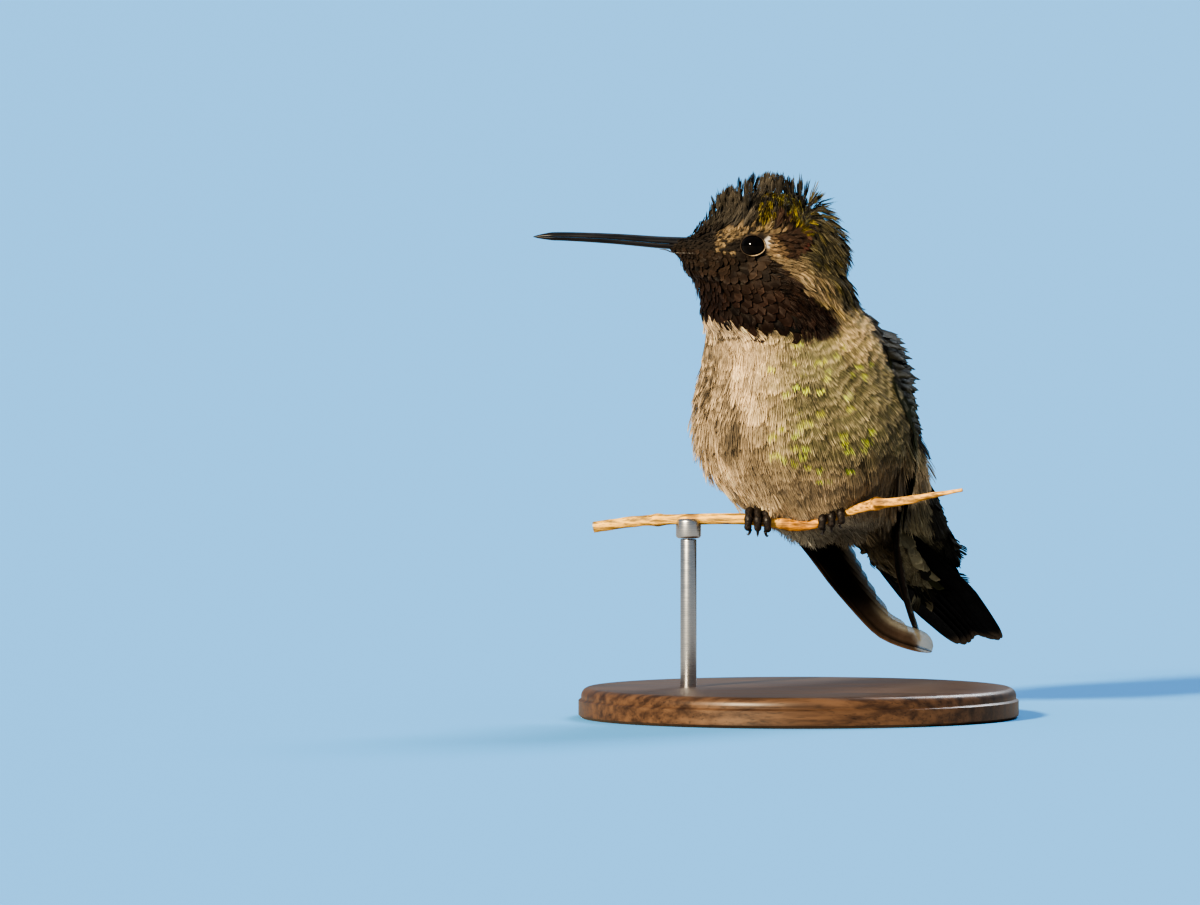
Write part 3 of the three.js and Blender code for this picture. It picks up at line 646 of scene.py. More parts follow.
class Tract:
    """A stretch of plumage: its roots, and the spine that each feather grows along."""

    def __init__(self, skin, roots, normals, length, seed, lift=None, depth=None, turn=0.12):
        self.rng = np.random.default_rng(seed)
        self.count = len(roots)
        self.roots = roots
        depth = 0.9 * coat_depth(roots) if depth is None else depth
        depth = depth * self.rng.uniform(0.82, 1.12, self.count)
        ruffled = self.rng.random(self.count) < 0.06
        depth = np.where(ruffled, depth * 1.6, depth)
        straight = ramp(own_terms(roots)[0], 25.5, 29)
        lift = np.zeros(self.count) if lift is None else lift
        sway = self.rng.normal(0, turn, self.count)
        surface = roots.copy()
        normal = normals.copy()
        spine = [roots - normals * 0.05]
        up = [normals]
        side = []
        start = None
        for step in range(1, SPINE_STEPS + 1):
            flow = lie(surface, normal)
            across = unit(np.cross(flow, normal))
            flow = unit(flow + across * sway[:, None])
            if start is None:
                start = flow
            free = np.maximum(np.clip(lift / 0.35, 0, 1), straight)[:, None]
            heading = flow * (1 - free) + start * free
            side.append(unit(np.cross(heading, normal * (1 - free) + normals * free)))
            surface = surface + flow * (length / SPINE_STEPS)[:, None]
            surface, normal = skin.nearest(surface)
            share = step / SPINE_STEPS
            hugging = surface + normal * (0.04 + depth * share ** 0.75)[:, None]
            gone = length * share
            rise = gone * np.sin(lift) + straight * depth * share ** 0.75
            raised = roots + start * (gone * np.cos(lift))[:, None] + normals * rise[:, None]
            spine.append(hugging * (1 - free) + raised * free)
            up.append(unit(normal * (1 - free) + normals * free))
        side.append(side[-1])
        self.spine = np.stack(spine, axis=1)
        self.up = np.stack(up, axis=1)
        self.side = np.stack(side, axis=1)
        self.tip_normals = normal

    def lay_out(self, along, across, off):
        """Bends flat feather shapes onto the spines. Each array is (feathers, points), along 0 to 1."""
        rows = np.arange(self.count)[:, None]
        reach = np.clip(along, 0, 1) * SPINE_STEPS
        low = np.minimum(reach.astype(int), SPINE_STEPS - 1)
        share = (reach - low)[..., None]

        def between(values):
            return values[rows, low] * (1 - share) + values[rows, low + 1] * share

        spine = between(self.spine)
        side = between(self.side)
        up = between(self.up)
        return spine + side * across[..., None] + up * off[..., None]


def feather_piece(name, points, quads, tris, tint, metal, vane, roots, material, slot):
    """One mesh of many like feathers, with the tint, the vane map and the unwrap of their roots."""
    count, size = points.shape[:2]
    offsets = (np.arange(count) * size)[:, None, None]
    quads = (quads[None] + offsets).reshape(-1, 4)
    if tris is not None:
        tris = (tris[None] + offsets).reshape(-1, 3)
    piece = new_object(name, points.reshape(-1, 3), quads, tris)
    add_tint(piece, np.maximum(tint.reshape(-1, 3), DARKEST_TINT), metal)
    patch = unwrap(roots)[:, None, :] + (vane - np.array([0, 0.5])) * PATCH_SIZE
    add_uv(piece, "OFBake", patch.reshape(-1, 2))
    add_uv(piece, "Vane", np.broadcast_to(vane, (count, size, 2)).reshape(-1, 2))
    return finish_piece(piece, material, slot)


# ---------------------------------------------------------------- feather shapes

def vane_pattern(columns, rows):
    """A flat grid: along 0 to 1, across -1 to 1, and its quads."""
    share = 1 - (1 - np.linspace(0, 1, rows + 1)) ** 1.6
    along, across = np.meshgrid(share, np.linspace(-1, 1, columns + 1), indexing="ij")
    index = np.arange((rows + 1) * (columns + 1)).reshape(rows + 1, columns + 1)
    return along.ravel(), across.ravel(), grid_quads(index)


def vane_outline(along, bluntness, root_share=0.35):
    """Half width of a feather as a share of its widest: narrow at the root, blunt or not at the tip."""
    widening = root_share + (1 - root_share) * np.clip(along / 0.5, 0, 1) ** 0.8
    closing = np.sqrt(np.clip(1 - np.clip((along - 0.35) / 0.65, 0, 1) ** bluntness, 0, 1))
    return widening * closing


def vanes(tract, name, half_width, bluntness, pattern, colour_of, material, slot,
          camber=0.25, ragged=0.1):
    """Small whole feathers: cambered vanes with a slightly ragged edge."""
    along, across, quads = pattern
    rng = tract.rng
    count = tract.count
    width = half_width * rng.uniform(0.88, 1.12, count)
    outline = vane_outline(along, bluntness)[None] * width[:, None]
    edge = np.abs(across) ** 3
    noise = rng.normal(0, ragged, (count, len(along)))
    rounded = 1 - 0.10 * (across ** 2)[None] * (along ** 4)[None]
    reach = along[None] * rounded + 0.4 * noise * (edge * along)[None] / 4
    sideways = outline * across[None] * (1 + noise * edge[None])
    off = -camber * outline * across[None] ** 2
    roll = rng.normal(0, 0.10, (count, 1))
    off = off + sideways * roll
    points = tract.lay_out(reach, sideways, off)
    tint, metal = colour_of(tract, along, across)
    vane = np.stack([across * 0.5 + 0.5, along], axis=1)
    return feather_piece(name, points, quads, None, tint, metal, vane, tract.roots, material, slot)


def fan_pattern(clumps, members, steps, seed, fanning=1.7, roundness=0.26, unevenness=0.2):
    """Loose barbs that leave a shaft one by one and gather in clumps towards the tip.

    Each barb is a thin ribbon, told as along, across and which edge it is on, all as shares.
    A high fanning sends the barbs out early, to run side by side like a comb.
    """
    rng = np.random.default_rng(seed)
    along, across, edge, quads, tris = [], [], [], [], []
    for barb in range(clumps * members):
        clump = barb // members
        member = barb % members - (members - 1) / 2
        centre = (clump + 0.5) / clumps * 2 - 1
        lean = centre + member * 2 / (clumps * members) * 0.55
        lean = lean + rng.uniform(-unevenness, unevenness) / clumps
        leave = 0.10 + 0.42 * (1 - abs(lean)) * rng.uniform(0.6, 1.1)
        end = 1 - roundness * centre * centre - 0.05 * abs(member) - rng.uniform(0, 0.3 * unevenness)
        first = len(along)
        for step in range(steps + 1):
            share = 1 - (1 - step / steps) ** 1.3
            here = leave + (end - leave) * share
            spread = lean * (1 - (1 - share) ** fanning)
            if step == steps:
                along.append(here)
                across.append(spread)
                edge.append(0)
                continue
            for sign in (-1, 1):
                along.append(here)
                across.append(spread)
                edge.append(sign * (1 - 0.35 * share))
        for step in range(steps - 1):
            corner = first + step * 2
            quads.append((corner, corner + 1, corner + 3, corner + 2))
        corner = first + (steps - 1) * 2
        tris.append((corner, corner + 1, corner + 2))
    shape = (np.array(along), np.array(across), np.array(edge), np.array(quads), np.array(tris))
    return shape + (clumps, members)


def fans(tract, name, half_width, barb_width, pattern, colour_of, material, slot,
         camber=0.22, loose=0.07, contrast=0.28):
    """Soft feathers whose barbs stand apart at the tip, so that a row of them reads as fine hair."""
    along, across, edge, quads, tris, clumps, members = pattern
    rng = tract.rng
    count = tract.count
    per_barb = len(along) // (clumps * members)
    per_clump = per_barb * members

    def by_clump(values):
        return np.repeat(values, per_clump, axis=1)

    def by_barb(values):
        return np.repeat(values, per_barb, axis=1)

    many = (count, clumps)
    each = (count, clumps * members)
    flip = rng.choice([-1.0, 1.0], (count, 1))
    width = (half_width * rng.uniform(0.85, 1.15, count))[:, None]
    stray = by_clump(rng.normal(0, loose, many)) + by_barb(rng.normal(0, 0.4 * loose, each))
    short = by_clump(rng.uniform(-0.10, 0.03, many)) + by_barb(rng.uniform(-0.03, 0.03, each))
    reach = along[None] * (1 + short)
    sideways = width * flip * (across[None] + stray * along[None] ** 2) + edge[None] * barb_width
    tilt = by_barb(rng.normal(0, 0.45, each))
    rise = by_clump(rng.uniform(-0.05, 0.12, many)) + by_barb(rng.uniform(-0.03, 0.03, each))
    off = -camber * width * across[None] ** 2 + edge[None] * barb_width * tilt
    off = off + rise * along[None] ** 2
    points = tract.lay_out(reach, sideways, off)
    shade = by_clump(rng.normal(0, 0.7, many)) + by_barb(rng.normal(0, 0.6, each))
    tint, metal = colour_of(tract, along, across)
    tint = tint * np.clip(1 + contrast * shade[..., None], 0.15, 1.9)
    vane = np.stack([across * 0.5 + 0.5, along], axis=1)
    return feather_piece(name, points, quads, tris, tint, metal, vane, tract.roots, material, slot)


# ---------------------------------------------------------------- colours of single feathers

DOWN_GREY = np.array([0.030, 0.026, 0.021])


def dress(fringe=1.0, fringe_from=0.8, centre=1.0, spread=0.10, scallops=False, green=False,
          down=0.5, throat=False, gilt=1.0, hanging=False):
    """Returns a painter of feathers: downy root, body colour, darker centre and paler fringe. The
    darker centre is partly the feather's own and partly painted shade where the row above overlaps.
    """

    def paint(tract, along, across):
        rng = tract.rng
        where = tract.roots if hanging else tract.spine[:, SPINE_STEPS - 1]
        base, metal = markings(where, tract.tip_normals, gilt)
        if throat:
            base = even_colour(COLOUR["gorget"], tract.count)
            base = mix(base, COLOUR["chin"], ramp(where[:, 2], 54, 60))
            base = base * (1 - 0.28 * ramp(where[:, 2], 55.5, 52.5))[:, None]
        base = base * (1 + spread * rng.normal(0, 1, (tract.count, 1)))
        base = np.clip(base, 0.004, 1)
        along = along[None]
        across = across[None]
        amount_fringe = np.full((tract.count, 1), fringe)
        amount_centre = np.full((tract.count, 1), centre)
        rim_from = np.full((tract.count, 1), fringe_from)
        flank = np.zeros((tract.count, 1))
        if scallops:
            flank = flank_share(where)[:, None]
            height = where[:, 2:]
            breast = ramp(own_terms(where)[1], -3, -8)[:, None]
            breast = breast * ramp(height, 36, 41) * ramp(height, 51.5, 49.5)
            marked = 0.35 + 0.65 * flank + 0.9 * breast
            amount_fringe = 1 + (fringe - 1) * marked
            amount_centre = 1 + (centre - 1) * marked
            rim_from = fringe_from - 0.02 * breast
        rim = ramp(along + 0.10 * across ** 2, rim_from - 0.04, rim_from + 0.04)
        # darker centre: partly the feather's own dark centre, partly painted shade from the overlapping
        # row above
        heart_and_shade = ramp(along, 0.35, 0.6) * (1 - rim)
        gain = (1 + (amount_fringe - 1) * rim) * (1 + (amount_centre - 1) * heart_and_shade)
        tint = base[:, None, :] * gain[..., None]
        olive = (flank * heart_and_shade)[..., None]
        tint = tint * (1 - olive + olive * np.array([0.92, 1.0, 0.82]))
        woolly = down * ramp(along, 0.55, 0.15)
        tint = tint * (1 - woolly[..., None]) + DOWN_GREY * woolly[..., None]
        metal = metal[:, None] * np.ones_like(gain)
        if green:
            odds = blob(where, (2.4, -12, 40.3), (10.2, 18, 11)) ** 0.5
            odds = odds * (1 - head_share(where))
            odds = odds * (0.46 + 0.40 * wobble(where, 4.5, 21))
            chosen = rng.random(tract.count) < odds
            middle = rng.uniform(0.76, 0.86, (tract.count, 1))
            lean = rng.uniform(-0.35, 0.35, (tract.count, 1))
            dot = ramp(np.abs(across - lean), 0.60, 0.35) * ramp(np.abs(along - middle), 0.09, 0.05)
            dot = dot * chosen[:, None] * rng.uniform(0.5, 1, (tract.count, 1))
            hue = np.array(COLOUR["green"]) * rng.uniform(0.6, 2.0, (tract.count, 1, 1))
            hue = hue + (np.array(COLOUR["gold"]) - hue) * rng.uniform(0, 0.6, (tract.count, 1, 1))
            tint = tint + (hue - tint) * dot[..., None]
            metal = np.maximum(metal, 0.2 * dot)
        return tint, metal

    return paint


# ---------------------------------------------------------------- finishes

class Wiring:
    """Short ways to add nodes to a tree and join them."""

    def __init__(self, tree):
        self.tree = tree

    def add(self, kind, **settings):
        node = self.tree.nodes.new(kind)
        for key, value in settings.items():
            setattr(node, key, value)
        return node

    def join(self, source, target):
        self.tree.links.new(source, target)

    def feed(self, socket, value):
        if isinstance(value, bpy.types.NodeSocket):
            self.join(value, socket)
        else:
            socket.default_value = value

    def math(self, operation, first, second=0.0):
        node = self.add("ShaderNodeMath", operation=operation)
        self.feed(node.inputs[0], first)
        self.feed(node.inputs[1], second)
        return node.outputs[0]

    def spread(self, value, low, high, to_low=0.0, to_high=1.0):
        node = self.add("ShaderNodeMapRange", interpolation_type="SMOOTHSTEP")
        for socket, number in zip(node.inputs[:5], (value, low, high, to_low, to_high)):
            self.feed(socket, number)
        return node.outputs[0]

    def noise(self, vector, scale, detail=3.0, roughness=0.5):
        node = self.add("ShaderNodeTexNoise")
        self.feed(node.inputs["Vector"], vector)
        self.feed(node.inputs["Scale"], scale)
        node.inputs["Detail"].default_value = detail
        node.inputs["Roughness"].default_value = roughness
        return node.outputs["Fac"]

    def two_tone(self, height, dark, light, low=0.3, high=0.7):
        """A colour that goes from one to another as a height goes from low to high."""
        node = self.add("ShaderNodeMix", data_type="RGBA")
        self.feed(node.inputs["Factor"], self.spread(height, low, high))
        self.feed(node.inputs[6], (*dark, 1))
        self.feed(node.inputs[7], (*light, 1))
        return node.outputs[2]

    def group(self, tree, **values):
        """Shade and height from a shared group."""
        node = self.add("ShaderNodeGroup", node_tree=tree)
        for title, value in values.items():
            self.feed(node.inputs[title], value)
        return node.outputs["Shade"], node.outputs["Height"]

    def tint(self):
        """Colour and alpha of the points' own tint."""
        node = self.add("ShaderNodeAttribute", attribute_type="GEOMETRY", attribute_name="Tint")
        return node.outputs["Color"], node.outputs["Alpha"]

    def spot(self):
        return self.add("ShaderNodeTexCoord").outputs["Object"]

    def streaks(self, scale, detail, roughness=0.5):
        """Noise drawn out along an axis, by a scale for each."""
        grain = self.add("ShaderNodeMapping")
        grain.inputs["Scale"].default_value = scale
        self.join(self.spot(), grain.inputs["Vector"])
        return self.noise(grain.outputs[0], 1.0, detail, roughness)


class Finish(Wiring):
    """A new material with these values on its shader's own sockets, and ways to wire it."""

    def __init__(self, name, **values):
        self.material = bpy.data.materials.new(name)
        self.material.use_nodes = True
        super().__init__(self.material.node_tree)
        self.shader = self.tree.nodes["Principled BSDF"]
        for title, value in values.items():
            self.shader.inputs[title.replace("_", " ")].default_value = value

    def colour(self, colour, shade=None):
        """Base colour, made darker or lighter by a shade."""
        if shade is not None:
            node = self.add("ShaderNodeVectorMath", operation="SCALE")
            self.join(colour, node.inputs[0])
            self.feed(node.inputs["Scale"], shade)
            colour = node.outputs[0]
        self.join(colour, self.shader.inputs["Base Color"])

    def rough(self, height, low, high):
        self.join(self.spread(height, 0.3, 0.7, low, high), self.shader.inputs["Roughness"])

    def bump(self, height, strength, distance_mm):
        node = self.add("ShaderNodeBump")
        node.inputs["Strength"].default_value = strength
        node.inputs["Distance"].default_value = distance_mm * MM
        self.join(height, node.inputs["Height"])
        self.join(node.outputs[0], self.shader.inputs["Normal"])


def new_group(name, inputs):
    """A shared group from number sockets, told by title and first value, to a shade and a height."""
    group = bpy.data.node_groups.new(name, "ShaderNodeTree")
    for title, value in inputs.items():
        socket = group.interface.new_socket(title, in_out="INPUT", socket_type="NodeSocketFloat")
        socket.default_value = value
    for title in ("Shade", "Height"):
        group.interface.new_socket(title, in_out="OUTPUT", socket_type="NodeSocketFloat")
    start = group.nodes.new("NodeGroupInput").outputs
    end = group.nodes.new("NodeGroupOutput").inputs
    return Wiring(group), start, end


def make_barb_group():
    """Fine slanting barbs on both sides of a feather's shaft, from its own Vane map."""
    work, start, end = new_group("Feather barbs", {"Count": 22.0, "Slant": 0.8, "Depth": 0.3})
    vane = work.add("ShaderNodeUVMap", uv_map="Vane").outputs[0]
    parts = work.add("ShaderNodeSeparateXYZ")
    work.join(vane, parts.inputs[0])
    across = work.math("ABSOLUTE", work.math("SUBTRACT", parts.outputs[0], 0.5))
    slanted = work.math("MULTIPLY", across, start["Slant"])
    place_on = work.math("SUBTRACT", parts.outputs[1], slanted)
    drift = work.noise(vane, 6.0, 2.0)
    place_on = work.math("ADD", place_on, work.math("MULTIPLY", drift, 0.05))
    turns = work.math("MULTIPLY", place_on, start["Count"])
    sine = work.math("SINE", work.math("MULTIPLY", turns, 2 * math.pi))
    wave = work.math("MULTIPLY_ADD", sine, 0.5)
    wave.node.inputs[2].default_value = 0.5
    shaft = work.spread(across, 0.0, 0.045, 1.0, 0.0)
    lost = work.math("MULTIPLY", work.math("SUBTRACT", 1.0, wave), start["Depth"])
    work.join(work.math("SUBTRACT", 1.0, lost), end["Shade"])
    work.join(work.math("MAXIMUM", wave, shaft), end["Height"])
    return work.tree


def make_mottle_group():
    """Cloudy unevenness over the surface, at two sizes."""
    work, start, end = new_group("Mottle", {"Scale": 300.0, "Low": 0.85, "High": 1.12})
    spot = work.spot()
    coarse = work.noise(spot, start["Scale"], 4.0)
    fine = work.noise(spot, work.math("MULTIPLY", start["Scale"], 4.3), 3.0)
    both = work.math("ADD", work.math("MULTIPLY", coarse, 0.65), work.math("MULTIPLY", fine, 0.35))
    work.join(work.spread(both, 0.32, 0.68, start["Low"], start["High"]), end["Shade"])
    work.join(both, end["Height"])
    return work.tree


BARBS = make_barb_group()
MOTTLE = make_mottle_group()


def plumage_material(name, barbs, slant, depth, relief, rough, sheen=0.25, see_through=False,
                     specular=0.35):
    """Feathers: the tint of each, fine barbs over it, and a metal gleam where the tint says so."""
    finish = Finish(name, Sheen_Weight=sheen, Sheen_Roughness=0.45, Specular_IOR_Level=specular)
    tint, alpha = finish.tint()
    barb_shade, barb_height = finish.group(BARBS, Count=barbs, Slant=slant, Depth=depth)
    cloud_shade, cloud_height = finish.group(MOTTLE, Scale=420.0, Low=0.86, High=1.14)
    finish.colour(tint, finish.math("MULTIPLY", barb_shade, cloud_shade))
    finish.rough(cloud_height, rough - 0.08, rough + 0.08)
    finish.join(alpha, finish.shader.inputs["Alpha" if see_through else "Metallic"])
    finish.bump(barb_height, 0.6, relief)
    return finish.material


def mottled_material(name, colour, mottle, rough, **values):
    """One plain colour with cloudy unevenness: mottle is its scale, darkest and lightest shade."""
    finish = Finish(name, **values)
    base = finish.add("ShaderNodeRGB").outputs[0]
    base.default_value = (*colour, 1)
    shade, height = finish.group(MOTTLE, Scale=mottle[0], Low=mottle[1], High=mottle[2])
    finish.colour(base, shade)
    finish.rough(height, *rough)
    return finish.material


CROWN_FEATHER = plumage_material("crown_feather", 14.0, 0.9, 0.30, 0.05, 0.55,
                                 sheen=0.05, specular=0.2)
GORGET_FEATHER = plumage_material("gorget_feather", 12.0, 0.7, 0.22, 0.04, 0.48,
                                  sheen=0.0, specular=0.2)
NAPE_FEATHER = plumage_material("nape_feather", 14.0, 0.8, 0.28, 0.05, 0.6,
                                sheen=0.05, specular=0.2)
BREAST_FEATHER = plumage_material("breast_feather", 9.0, 0.3, 0.10, 0.02, 0.7, sheen=0.35)
BACK_FEATHER = plumage_material("back_feather", 16.0, 0.8, 0.25, 0.05, 0.5,
                                sheen=0.03, specular=0.12)
COVERT_FEATHER = plumage_material("covert_feather", 16.0, 0.8, 0.22, 0.05, 0.6,
                                  sheen=0.1, specular=0.2)


def skin_material():
    finish = Finish("skin_down", Sheen_Weight=0.2, Specular_IOR_Level=0.2)
    shade, height = finish.group(MOTTLE, Scale=900.0, Low=0.45, High=0.75)
    finish.colour(finish.tint()[0], shade)
    finish.rough(height, 0.75, 0.92)
    finish.bump(height, 0.8, 0.15)
    return finish.material


# ---------------------------------------------------------------- the skin and its coat

# x, height, half height and half width of the rings that lead the face onto the bill
WEDGE_RINGS = ((-17.3, 62.35, 0.95, 1.15), (-15.2, 62.2, 1.75, 1.9), (-13.0, 62.0, 3.3, 3.2))


def bill_root_wedge():
    """Rings round the bill's root, where the face narrows onto the bill."""
    angle = round_angles(16)
    rings = []
    for x, z, half_height, half_width in WEDGE_RINGS:
        y = HEAD_Y + half_width * np.cos(angle)
        rings.append(np.stack([np.full(len(angle), x), y, z + half_height * np.sin(angle)], axis=1))
    return [np.concatenate(rings[:2]), np.concatenate(rings[1:])]


def make_skin():
    rounded = [node for node in FLESH if node != "head_face"]
    solid_points, quads = remeshed("skin_form", SKIN_VOXEL, 5, hulls=rounded, extra=bill_root_wedge(),
                                   copies=["head_face", "eye_left", "eye_right"])
    normals = normals_of(solid_points, quads)
    points = solid_points - normals * (coat_depth(solid_points) + hollow(solid_points))[:, None]
    skin = Skin(points, quads)
    piece = new_object("skin", points, quads)
    colours, _ = markings(points, skin.normals)
    add_tint(piece, colours)
    round_body = unwrap(points)
    corners = quads.ravel()
    angles = round_body[corners, 0].reshape(-1, 4)
    crossing = (angles.max(axis=1) - angles.min(axis=1)) > 0.5
    angles[crossing] = np.where(angles[crossing] < 0.5, angles[crossing] + 1, angles[crossing])
    layer = piece.data.uv_layers.new(name="OFBake")
    flat = np.stack([angles.ravel(), round_body[corners, 1]], axis=1)
    layer.data.foreach_set("uv", flat.astype(np.float32).ravel())
    finish_piece(piece, skin_material(), "breast_plumage", *FLESH)
    return skin


def tract_of(spots, normals, inside, spacing):
    """Roots of one tract: even spots where `inside` says so."""
    chosen = np.nonzero(inside)[0]
    gap = spacing[chosen] if isinstance(spacing, np.ndarray) else np.full(len(chosen), spacing)
    kept = spread_out(spots[chosen], gap)
    return spots[chosen][kept], normals[chosen][kept]


def clear_of_eyes(points, reach):
    off_left = np.linalg.norm(points - EYE, axis=1)
    far = EYE * np.array([1, 0, 1]) + np.array([0, 2 * HEAD_Y - EYE[1], 0])
    off_right = np.linalg.norm(points - far, axis=1)
    return np.minimum(off_left, off_right) > reach


def bill_off(points):
    """How far back from the bill's base a point of the head is (mm)."""
    return np.linalg.norm((points - BILL_BASE) * np.array([0.7, 1, 1]), axis=1)


def sized(at, values):
    """A measure that grows with the distance from the bill's base."""
    return lambda points: np.interp(bill_off(points), at, values)


COAT_SPOTS = 150000                 # tried as roots, over the whole skin


def make_coat(skin):
    spots, normals = skin.scatter(COAT_SPOTS, 11)
    reach = np.interp(bill_off(spots), [1, 6, 14, 22], [0.5, 1.1, 2.3, 2.6])
    ahead = spots + lie(spots, normals) * reach[:, None]
    x, _, z = ahead.T
    head = head_share(ahead) > 0.5
    throat = gorget_share(ahead) > 0.5
    dorsal = (back_share(spots, normals) > 0.5) & ~head
    own_back = own_terms(spots)[0]
    under = (own_back > 13.0) & (spots[:, 2] < 28.0) & ~dorsal
    tail_end = (own_back > 22) & (normals @ unit(1.78 * BACK - UP) > 0.45)
    belly = (head_share(spots + 1.4 * (ahead - spots)) <= 0.5) & ~dorsal & ~under
    open_skin = clear_of_eyes(spots, 1.72)
    crown_line = np.interp(x, [-13, -10.5, -8, -3, 0, 3],
                           [63.3, 64.4, 65.3, 65.5, 65.4, 64.4])
    crown = head & ~throat & (z > crown_line) & (x < 3.0) & (bill_off(spots) > 2.6)
    face = head & ~throat & ~crown & ((x < -2.2) | (ear_share(ahead) > 0.35))
    nape = head & ~throat & ~crown & ~face

    def grown(name, inside, spacing, length, half_width, seed, style, lift=None, turn=0.10,
              depth=None, **options):
        """One tract. Spacing, length and half width are numbers or functions of place."""
        gap = spacing(spots) if callable(spacing) else spacing
        roots, root_normals = tract_of(spots, normals, inside & open_skin, gap)
        rng = np.random.default_rng(seed + 1000)
        size = (length(roots) if callable(length) else length) * rng.uniform(0.88, 1.12, len(roots))
        lifted = lift(roots) * rng.uniform(0.75, 1.2, len(roots)) if lift else None
        tract = Tract(skin, roots, root_normals, size, seed + 1, lift=lifted, turn=turn,
                      depth=depth(roots) if depth else None)
        width = half_width(roots) if callable(half_width) else np.full(len(roots), half_width)
        if len(style[0]) == 3:
            vanes(tract, name, width, options.pop("bluntness"), *style, **options)
        else:
            fans(tract, name, width, options.pop("barb_width"), *style, **options)

    blade = vane_pattern(6, 9)
    scale = vane_pattern(8, 10)
    tuft = fan_pattern(6, 3, 3, 6)
    plume = fan_pattern(8, 3, 4, 9, roundness=0.32, unevenness=0.1)
    comb = fan_pattern(10, 2, 5, 5, fanning=3.2, roundness=0.13, unevenness=0.08)
    down = fan_pattern(6, 2, 2, 4)
    hair_line = np.interp(z, [51.4, 57.2, 61], [0.2, -2.6, -4.2])
    scaly = throat & (x < hair_line)
    gorget_dress = dress(fringe=1.45, fringe_from=0.90, centre=0.72, spread=0.30, down=0.85,
                         throat=True)
    grown("gorget_scales", scaly, sized([1, 6, 15], [0.34, 0.50, 0.90]),
          sized([1, 6, 15], [0.9, 1.5, 2.6]), sized([1, 6, 15], [0.30, 0.44, 0.86]), 31,
          (scale, gorget_dress, GORGET_FEATHER, "gorget_plumage"),
          bluntness=3.6, ragged=0.05, camber=0.10, turn=0.07)
    grown("gorget_rear_feathers", throat & ~scaly, 0.50, 2.2, 0.42, 33,
          (tuft, gorget_dress, GORGET_FEATHER, "gorget_plumage"),
          barb_width=0.05, loose=0.15, contrast=0.3, turn=0.16)
    face_dress = dress(fringe=1.25, spread=0.22, down=0.5, gilt=0.25)
    grown("face_feathers", face, sized([0, 6, 12], [0.25, 0.34, 0.44]),
          sized([0, 6, 12], [0.7, 0.95, 1.25]), sized([0, 6, 12], [0.14, 0.20, 0.30]), 37,
          (down, face_dress, CROWN_FEATHER, "crown_plumage"),
          barb_width=0.034, loose=0.10, contrast=0.28, turn=0.14,
          depth=sized([0, 8, 12], [0.10, 0.25, 0.55]))
    gilded = crown & (near_path(ahead, GOLD_ARCH, 2.2) > 0.4) & (z < 69.0)
    front = crown & (x < -1.0) & ~gilded
    front_dress = dress(fringe=1.35, centre=0.8, spread=0.20, down=0.7)
    grown("crown_feathers", front, sized([2, 5, 10], [0.36, 0.62, 0.98]),
          sized([2, 4, 6, 8, 10], [1.0, 1.4, 2.3, 3.0, 3.1]), sized([2, 5, 10], [0.24, 0.44, 0.66]),
          41, (plume, front_dress, CROWN_FEATHER, "crown_plumage"),
          barb_width=0.058, turn=0.09, loose=0.03, contrast=0.26, camber=0.4,
          lift=lambda r: 0.18 + 0.78 * ramp(r[:, 2], 64.2, 66.8))
    gold_dress = dress(fringe=2.2, fringe_from=0.86, centre=0.30, spread=0.5, down=0.9)
    grown("crown_gold_feathers", gilded, 0.40, 1.9, 0.30, 44,
          (tuft, gold_dress, CROWN_FEATHER, "crown_plumage"),
          barb_width=0.028, turn=0.16, loose=0.15, contrast=1.0,
          lift=lambda r: 0.10 + 0.35 * ramp(r[:, 2], 66.0, 69.0))
    rear_dress = dress(fringe=1.4, centre=0.75, spread=0.24, down=0.6, gilt=0.35)
    grown("crown_rear_feathers", crown & ~front & ~gilded, 0.60, 4.2, 0.42, 42,
          (tuft, rear_dress, CROWN_FEATHER, "crown_plumage"),
          barb_width=0.05, turn=0.16, loose=0.2, contrast=0.3,
          lift=lambda r: 0.16 + 0.62 * ramp(r[:, 2], 65.0, 68.3))
    nape_dress = dress(fringe=1.5, centre=0.7, spread=0.24, down=0.5, gilt=0.6)
    grown("nape_feathers", nape, 0.62, 3.4, 0.46, 43,
          (tuft, nape_dress, NAPE_FEATHER, "nape_plumage"),
          barb_width=0.042, turn=0.14, loose=0.2, contrast=0.4,
          lift=lambda r: 0.30 * ramp(r[:, 0], 2.0, 4.5) * ramp(r[:, 2], 57, 62))
    body_dress = dress(fringe=1.15, fringe_from=0.79, centre=0.42, spread=0.12, scallops=True,
                       green=True, down=0.65)
    style = (comb, body_dress, BREAST_FEATHER, "breast_plumage")

    def by_height(values):
        return lambda points: np.interp(points[:, 2], [22, 30, 44, 52], values)

    def body_lift(points):
        low_breast = 0.26 * ramp(points[:, 0], -11.0, -12.5) * ramp(points[:, 2], 29, 33)
        high_breast = 0.12 * ramp(points[:, 2], 49, 51) * ramp(points[:, 0], -4, -8)
        return high_breast + low_breast * ramp(points[:, 2], 44, 40)

